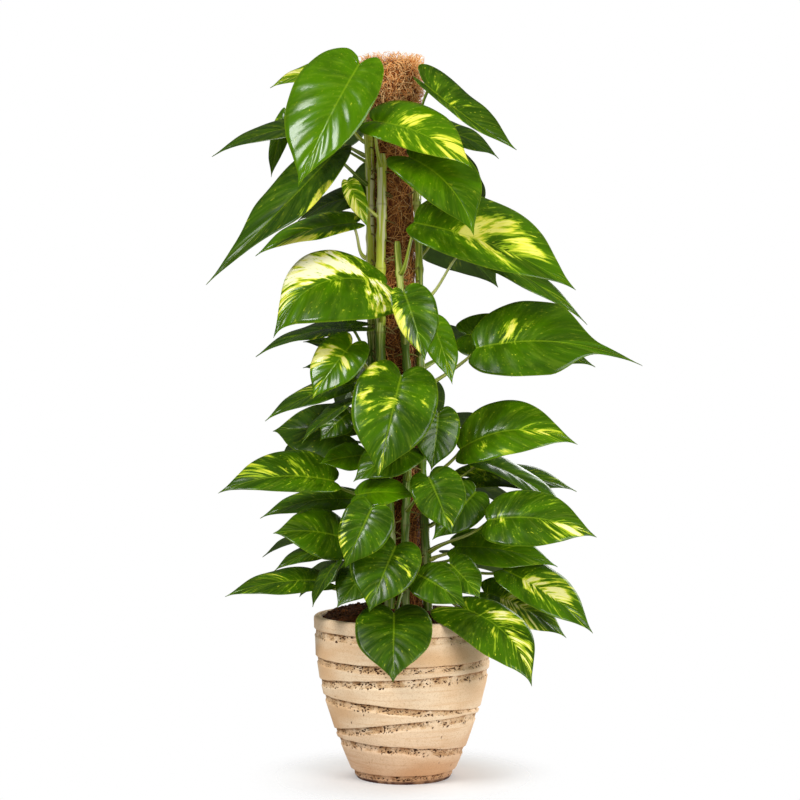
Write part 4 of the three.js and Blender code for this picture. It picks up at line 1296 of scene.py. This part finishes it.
def leaf_mesh(look, leaf, fused):
    """A blade with its midrib, side veins and wavy margin, on its petiole."""
    growth = Growth()
    small = min(1, 0.45 + leaf.width / 150)
    rows = int(look.rows * small)
    half_columns = int(look.columns * small)
    columns = 2 * half_columns + 1
    place = np.arange(1, rows)[:, None] / rows
    out = np.linspace(-1, 1, columns)[None, :]
    edge = leaf.edge(place + 0 * out)
    rib = place**VEIN_SWEEP
    spread = np.abs(out)
    along = rib + (edge[..., 0] - rib) * spread
    across = np.sign(out) * edge[..., 1] * spread
    vein = place**VEIN_SPREAD - 0.05 * spread**1.6 + 0 * out

    def ended(values, tip=0.0):
        return np.concatenate([[0.0], values.ravel(), [tip]])

    along, across = ended(along, 1.0), ended(across)
    vein, spread = ended(vein, 1.0), ended(spread + 0 * place)
    reach = across * leaf.width / 2
    middle = leaf.surface(along, across, look)
    taper = 1 - 0.7 * along
    young_and_lit, golden, cream = leaf.look
    size = leaf.width / 100 * (0.7 + 0.5 * young_and_lit)
    bulge = np.abs(np.sin(math.pi * look.veins * vein)) ** 0.8
    window = sleek(spread, 0.0, 0.25) * sleek(spread, 1.02, 0.7)
    quilt = look.quilting / MM * size * bulge * window
    groove = np.exp(-((reach / (1.6 * taper + 0.3)) ** 2)) * taper
    thick = look.thickness / MM * (0.35 + 0.65 * sleek(spread, 1.0, 0.5))
    top = thick / 2 - 0.5 * groove + quilt
    bottom = -thick / 2 - 1.1 * groove + quilt * 0.9
    above = middle + leaf.up * top[:, None]
    below = middle + leaf.up * bottom[:, None]
    weight = (golden - 0.35) * 0.9 + 0 * vein
    signed = np.where(across >= 0, spread, -spread)
    for centre, breadth, start, end, strength in leaf.strokes:
        inside = sleek(signed, start - 0.15, start + 0.1) * sleek(signed, end + 0.15, end - 0.1)
        weight = weight + strength * inside * np.exp(-(((vein - centre) / breadth) ** 2))
    seed = leaf.chance.random() * 50
    quads, fans, rim = skin_faces(rows, columns)
    many = len(middle)
    after = np.roll(rim, -1)
    band = np.stack([rim, after, after + many, rim + many], axis=1)
    under = np.repeat([0.0, 1.0], many)
    growth.add(
        np.concatenate([above, below]),
        (quads[:, ::-1], fans[:, ::-1], quads + many, fans + many, band),
        place=np.tile(triples(reach, vein, along), (2, 1)),
        look=np.tile(triples(weight, young_and_lit, cream), (2, 1)),
        skin=triples(under, np.tile(spread, 2), seed),
    )
    path = leaf.petiole(look, fused)
    share = np.linspace(0, 1, len(path))
    sheath = 1 + 0.3 * sleek(share, 0.35, 0.05)
    knuckle = 1 + 0.28 * np.exp(-(((share - 0.93) / 0.05) ** 2))
    slim = min(1, 0.55 + leaf.width / 200)
    radii = (2.6 - 0.9 * share) * sheath * knuckle * slim
    radii[-1] *= 0.6
    points, faces, turn, run = tubes(path[None], radii[None], STALK_SIDES)
    scar = np.repeat(0.5 * sleek(share, 0.1, 0.0), STALK_SIDES)
    tone = triples(scar, 0.15 + 0.7 * young_and_lit, 0.25 + 0.5 * golden)
    growth.add(points, faces, finish=1, place=triples(turn, run, seed), look=tone)
    return growth


# Operators


class POTHOS_OT_stage(bpy.types.Operator):
    """Sets the pale floor with its painted shadow, the soft studio light and the camera."""

    bl_idname = "pothos.stage"
    bl_label = "Stage"

    def execute(self, context):
        look = context.scene.pothos_stage
        scene = context.scene
        camera = bpy.data.cameras.new("camera")
        camera.lens, camera.sensor_width = CAMERA_LENS, CAMERA_SENSOR
        camera.clip_end = CAMERA_REACH
        eye = bpy.data.objects.new("camera", camera)
        eye.location = CAMERA_PLACE
        eye.rotation_euler = (math.pi / 2, 0, 0)
        scene.collection.objects.link(eye)
        scene.camera = eye
        scene.view_settings.view_transform = "Standard"
        self.floor(scene, look)
        self.sky(scene, look)
        for name, (place, width) in LAMPS.items():
            self.lamp(scene, name, place, width, getattr(look, name))
        return {"FINISHED"}

    def floor(self, scene, look):
        """A round grey floor that fades away into the background's white: a painted shadow round the pot, which
        also takes the lamps' shadows.
        """
        finish = Finish("pale_floor", specular=0.1)
        x, y, _ = finish.parts(finish.object_place())
        far = finish.work("SQRT", finish.sum(finish.times(x, x), finish.times(y, y)))
        finish.paint(look.floor, 0.9)
        clear = finish.step("ShaderNodeBsdfTransparent")
        fade = finish.rise(far, *FLOOR_SHADOW_FADE)
        mixed = finish.step("ShaderNodeMixShader", fade, finish.shader.outputs[0], clear)
        finish.links.new(mixed, finish.nodes["Material Output"].inputs["Surface"])
        mesh = bpy.data.meshes.new("floor")
        rim = on_turn(turns(FLOOR_SIDES), 1.0, 0.0)
        mesh.from_pydata(rim.tolist(), [], [list(range(FLOOR_SIDES))])
        mesh.materials.append(finish.material)
        floor = bpy.data.objects.new("floor", mesh)
        scene.collection.objects.link(floor)

    def sky(self, scene, look):
        """White behind the plant, and a dimmer even light on it."""
        world = bpy.data.worlds.new("studio")
        world.use_nodes = True
        nodes, links = world.node_tree.nodes, world.node_tree.links
        rays = nodes.new("ShaderNodeLightPath").outputs
        brightness = look.ambient
        for kind, strength in (("Is Glossy Ray", look.mirrored), ("Is Camera Ray", 1.0)):
            choice = nodes.new("ShaderNodeMix")
            links.new(rays[kind], choice.inputs[0])
            choice.inputs[3].default_value = strength
            if kind == "Is Glossy Ray":
                choice.inputs[2].default_value = brightness
            else:
                links.new(brightness, choice.inputs[2])
            brightness = choice.outputs[0]
        background = nodes["Background"]
        background.inputs["Color"].default_value = (1, 1, 1, 1)
        links.new(brightness, background.inputs["Strength"])
        scene.world = world

    def lamp(self, scene, name, place, width, power):
        """A square lamp that faces the plant."""
        light = bpy.data.lights.new(name, "AREA")
        light.shape = "SQUARE"
        light.size = width
        light.energy = power
        lamp = bpy.data.objects.new(name, light)
        lamp.location = place
        lamp.rotation_euler = (Vector(AIM) - Vector(place)).to_track_quat("-Z", "Y").to_euler()
        scene.collection.objects.link(lamp)


class POTHOS_OT_pot(bpy.types.Operator):
    """Makes the stoneware pot."""

    bl_idname = "pothos.pot"
    bl_label = "Pot"

    def execute(self, context):
        look = context.scene.pothos_pot
        pot_mesh(look).make("stoneware_pot", [stoneware(look)], "stoneware", "pot")
        return {"FINISHED"}


class POTHOS_OT_soil(bpy.types.Operator):
    """Makes the heaped potting soil."""

    bl_idname = "pothos.soil"
    bl_label = "Soil"

    def execute(self, context):
        look = context.scene.pothos_soil
        chance = np.random.default_rng(SOIL_SEED)
        soil_mesh(look, chance).make("heaped_soil", [soil_finish(look)], "potting_soil", "soil")
        return {"FINISHED"}


class POTHOS_OT_coir(bpy.types.Operator):
    """Makes the coir pole, its loose fibres and its frayed head, and gives the stake its wood."""

    bl_idname = "pothos.coir"
    bl_label = "Coir pole"

    def execute(self, context):
        look = context.scene.pothos_coir
        husk = coir_finish(look)
        coir_core().make("coir_core", [husk], "coir", "coir_wrap")
        pole_fibres(look, np.random.default_rng(POLE_SEED)).make("coir_pole_fibres", [husk], "coir")
        head_fibres(look, np.random.default_rng(HEAD_SEED)).make("coir_head_fibres", [husk], "coir")
        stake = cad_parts["stake"]
        stake.data.materials.clear()
        stake.data.materials.append(stake_finish())
        return {"FINISHED"}


class POTHOS_OT_stems(bpy.types.Operator):
    """Makes the climbing stems and their aerial roots."""

    bl_idname = "pothos.stems"
    bl_label = "Stems"

    def execute(self, context):
        look = context.scene.pothos_stems
        skin = stem_finish(look)
        for seed, name in enumerate(VINES):
            heights = [row[1] for row in (*LEAVES, *SIDE_LEAVES) if row[0] == name]
            piece = name.replace("vine", "stem")
            stem_mesh(look, name, heights, seed * 7.0).make(piece, [skin], "stem", name)
        root_mesh(np.random.default_rng(ROOT_SEED)).make("aerial_roots", [root_finish(look)], "stem")
        return {"FINISHED"}


class POTHOS_OT_leaves(bpy.types.Operator):
    """Makes the leaves with their petioles."""

    bl_idname = "pothos.leaves"
    bl_label = "Leaves"

    def execute(self, context):
        look = context.scene.pothos_leaves
        finishes = [blade_finish(look), stem_finish(context.scene.pothos_stems)]
        for number, row in enumerate(LEAVES, 1):
            node = f"leaf_{number:02d}"
            leaf_mesh(look, Leaf(row, number), False).make(f"golden_{node}", finishes, "leaf", node)
        for number, row in enumerate(SIDE_LEAVES, len(LEAVES) + 1):
            leaf_mesh(look, Leaf(row, number), True).make(f"golden_leaf_{number:02d}", finishes, "leaf")
        return {"FINISHED"}


class POTHOS_PT_panel(bpy.types.Panel):
    """Lists the steps and the settings of the potted pothos."""

    bl_idname = "POTHOS_PT_panel"
    bl_label = "Potted golden pothos"
    bl_space_type = "VIEW_3D"
    bl_region_type = "UI"
    bl_category = "Pothos"

    def draw(self, context):
        for step in STEPS:
            box = self.layout.box()
            box.operator(step.bl_idname)
            settings = getattr(context.scene, step.bl_idname.replace(".", "_"))
            for name in settings.__annotations__:
                box.prop(settings, name)


STEPS = (POTHOS_OT_stage, POTHOS_OT_pot, POTHOS_OT_soil, POTHOS_OT_coir, POTHOS_OT_stems, POTHOS_OT_leaves)
SETTINGS = (PothosStage, PothosPot, PothosSoil, PothosCoir, PothosStems, PothosLeaves)


def register():
    """Adds the classes, and each step's settings to the scene."""
    for kind in (*SETTINGS, *STEPS, POTHOS_PT_panel):
        bpy.utils.register_class(kind)
    for step, settings in zip(STEPS, SETTINGS):
        setattr(bpy.types.Scene, step.bl_idname.replace(".", "_"), PointerProperty(type=settings))


def unregister():
    """Takes away what register() added."""
    for step in STEPS:
        delattr(bpy.types.Scene, step.bl_idname.replace(".", "_"))
    for kind in reversed((*SETTINGS, *STEPS, POTHOS_PT_panel)):
        bpy.utils.unregister_class(kind)


def main():
    """Makes every piece in order."""
    register()
    bpy.ops.pothos.stage()
    bpy.ops.pothos.pot()
    bpy.ops.pothos.soil()
    bpy.ops.pothos.coir()
    bpy.ops.pothos.stems()
    bpy.ops.pothos.leaves()


if __name__ == "__main__":
    main()
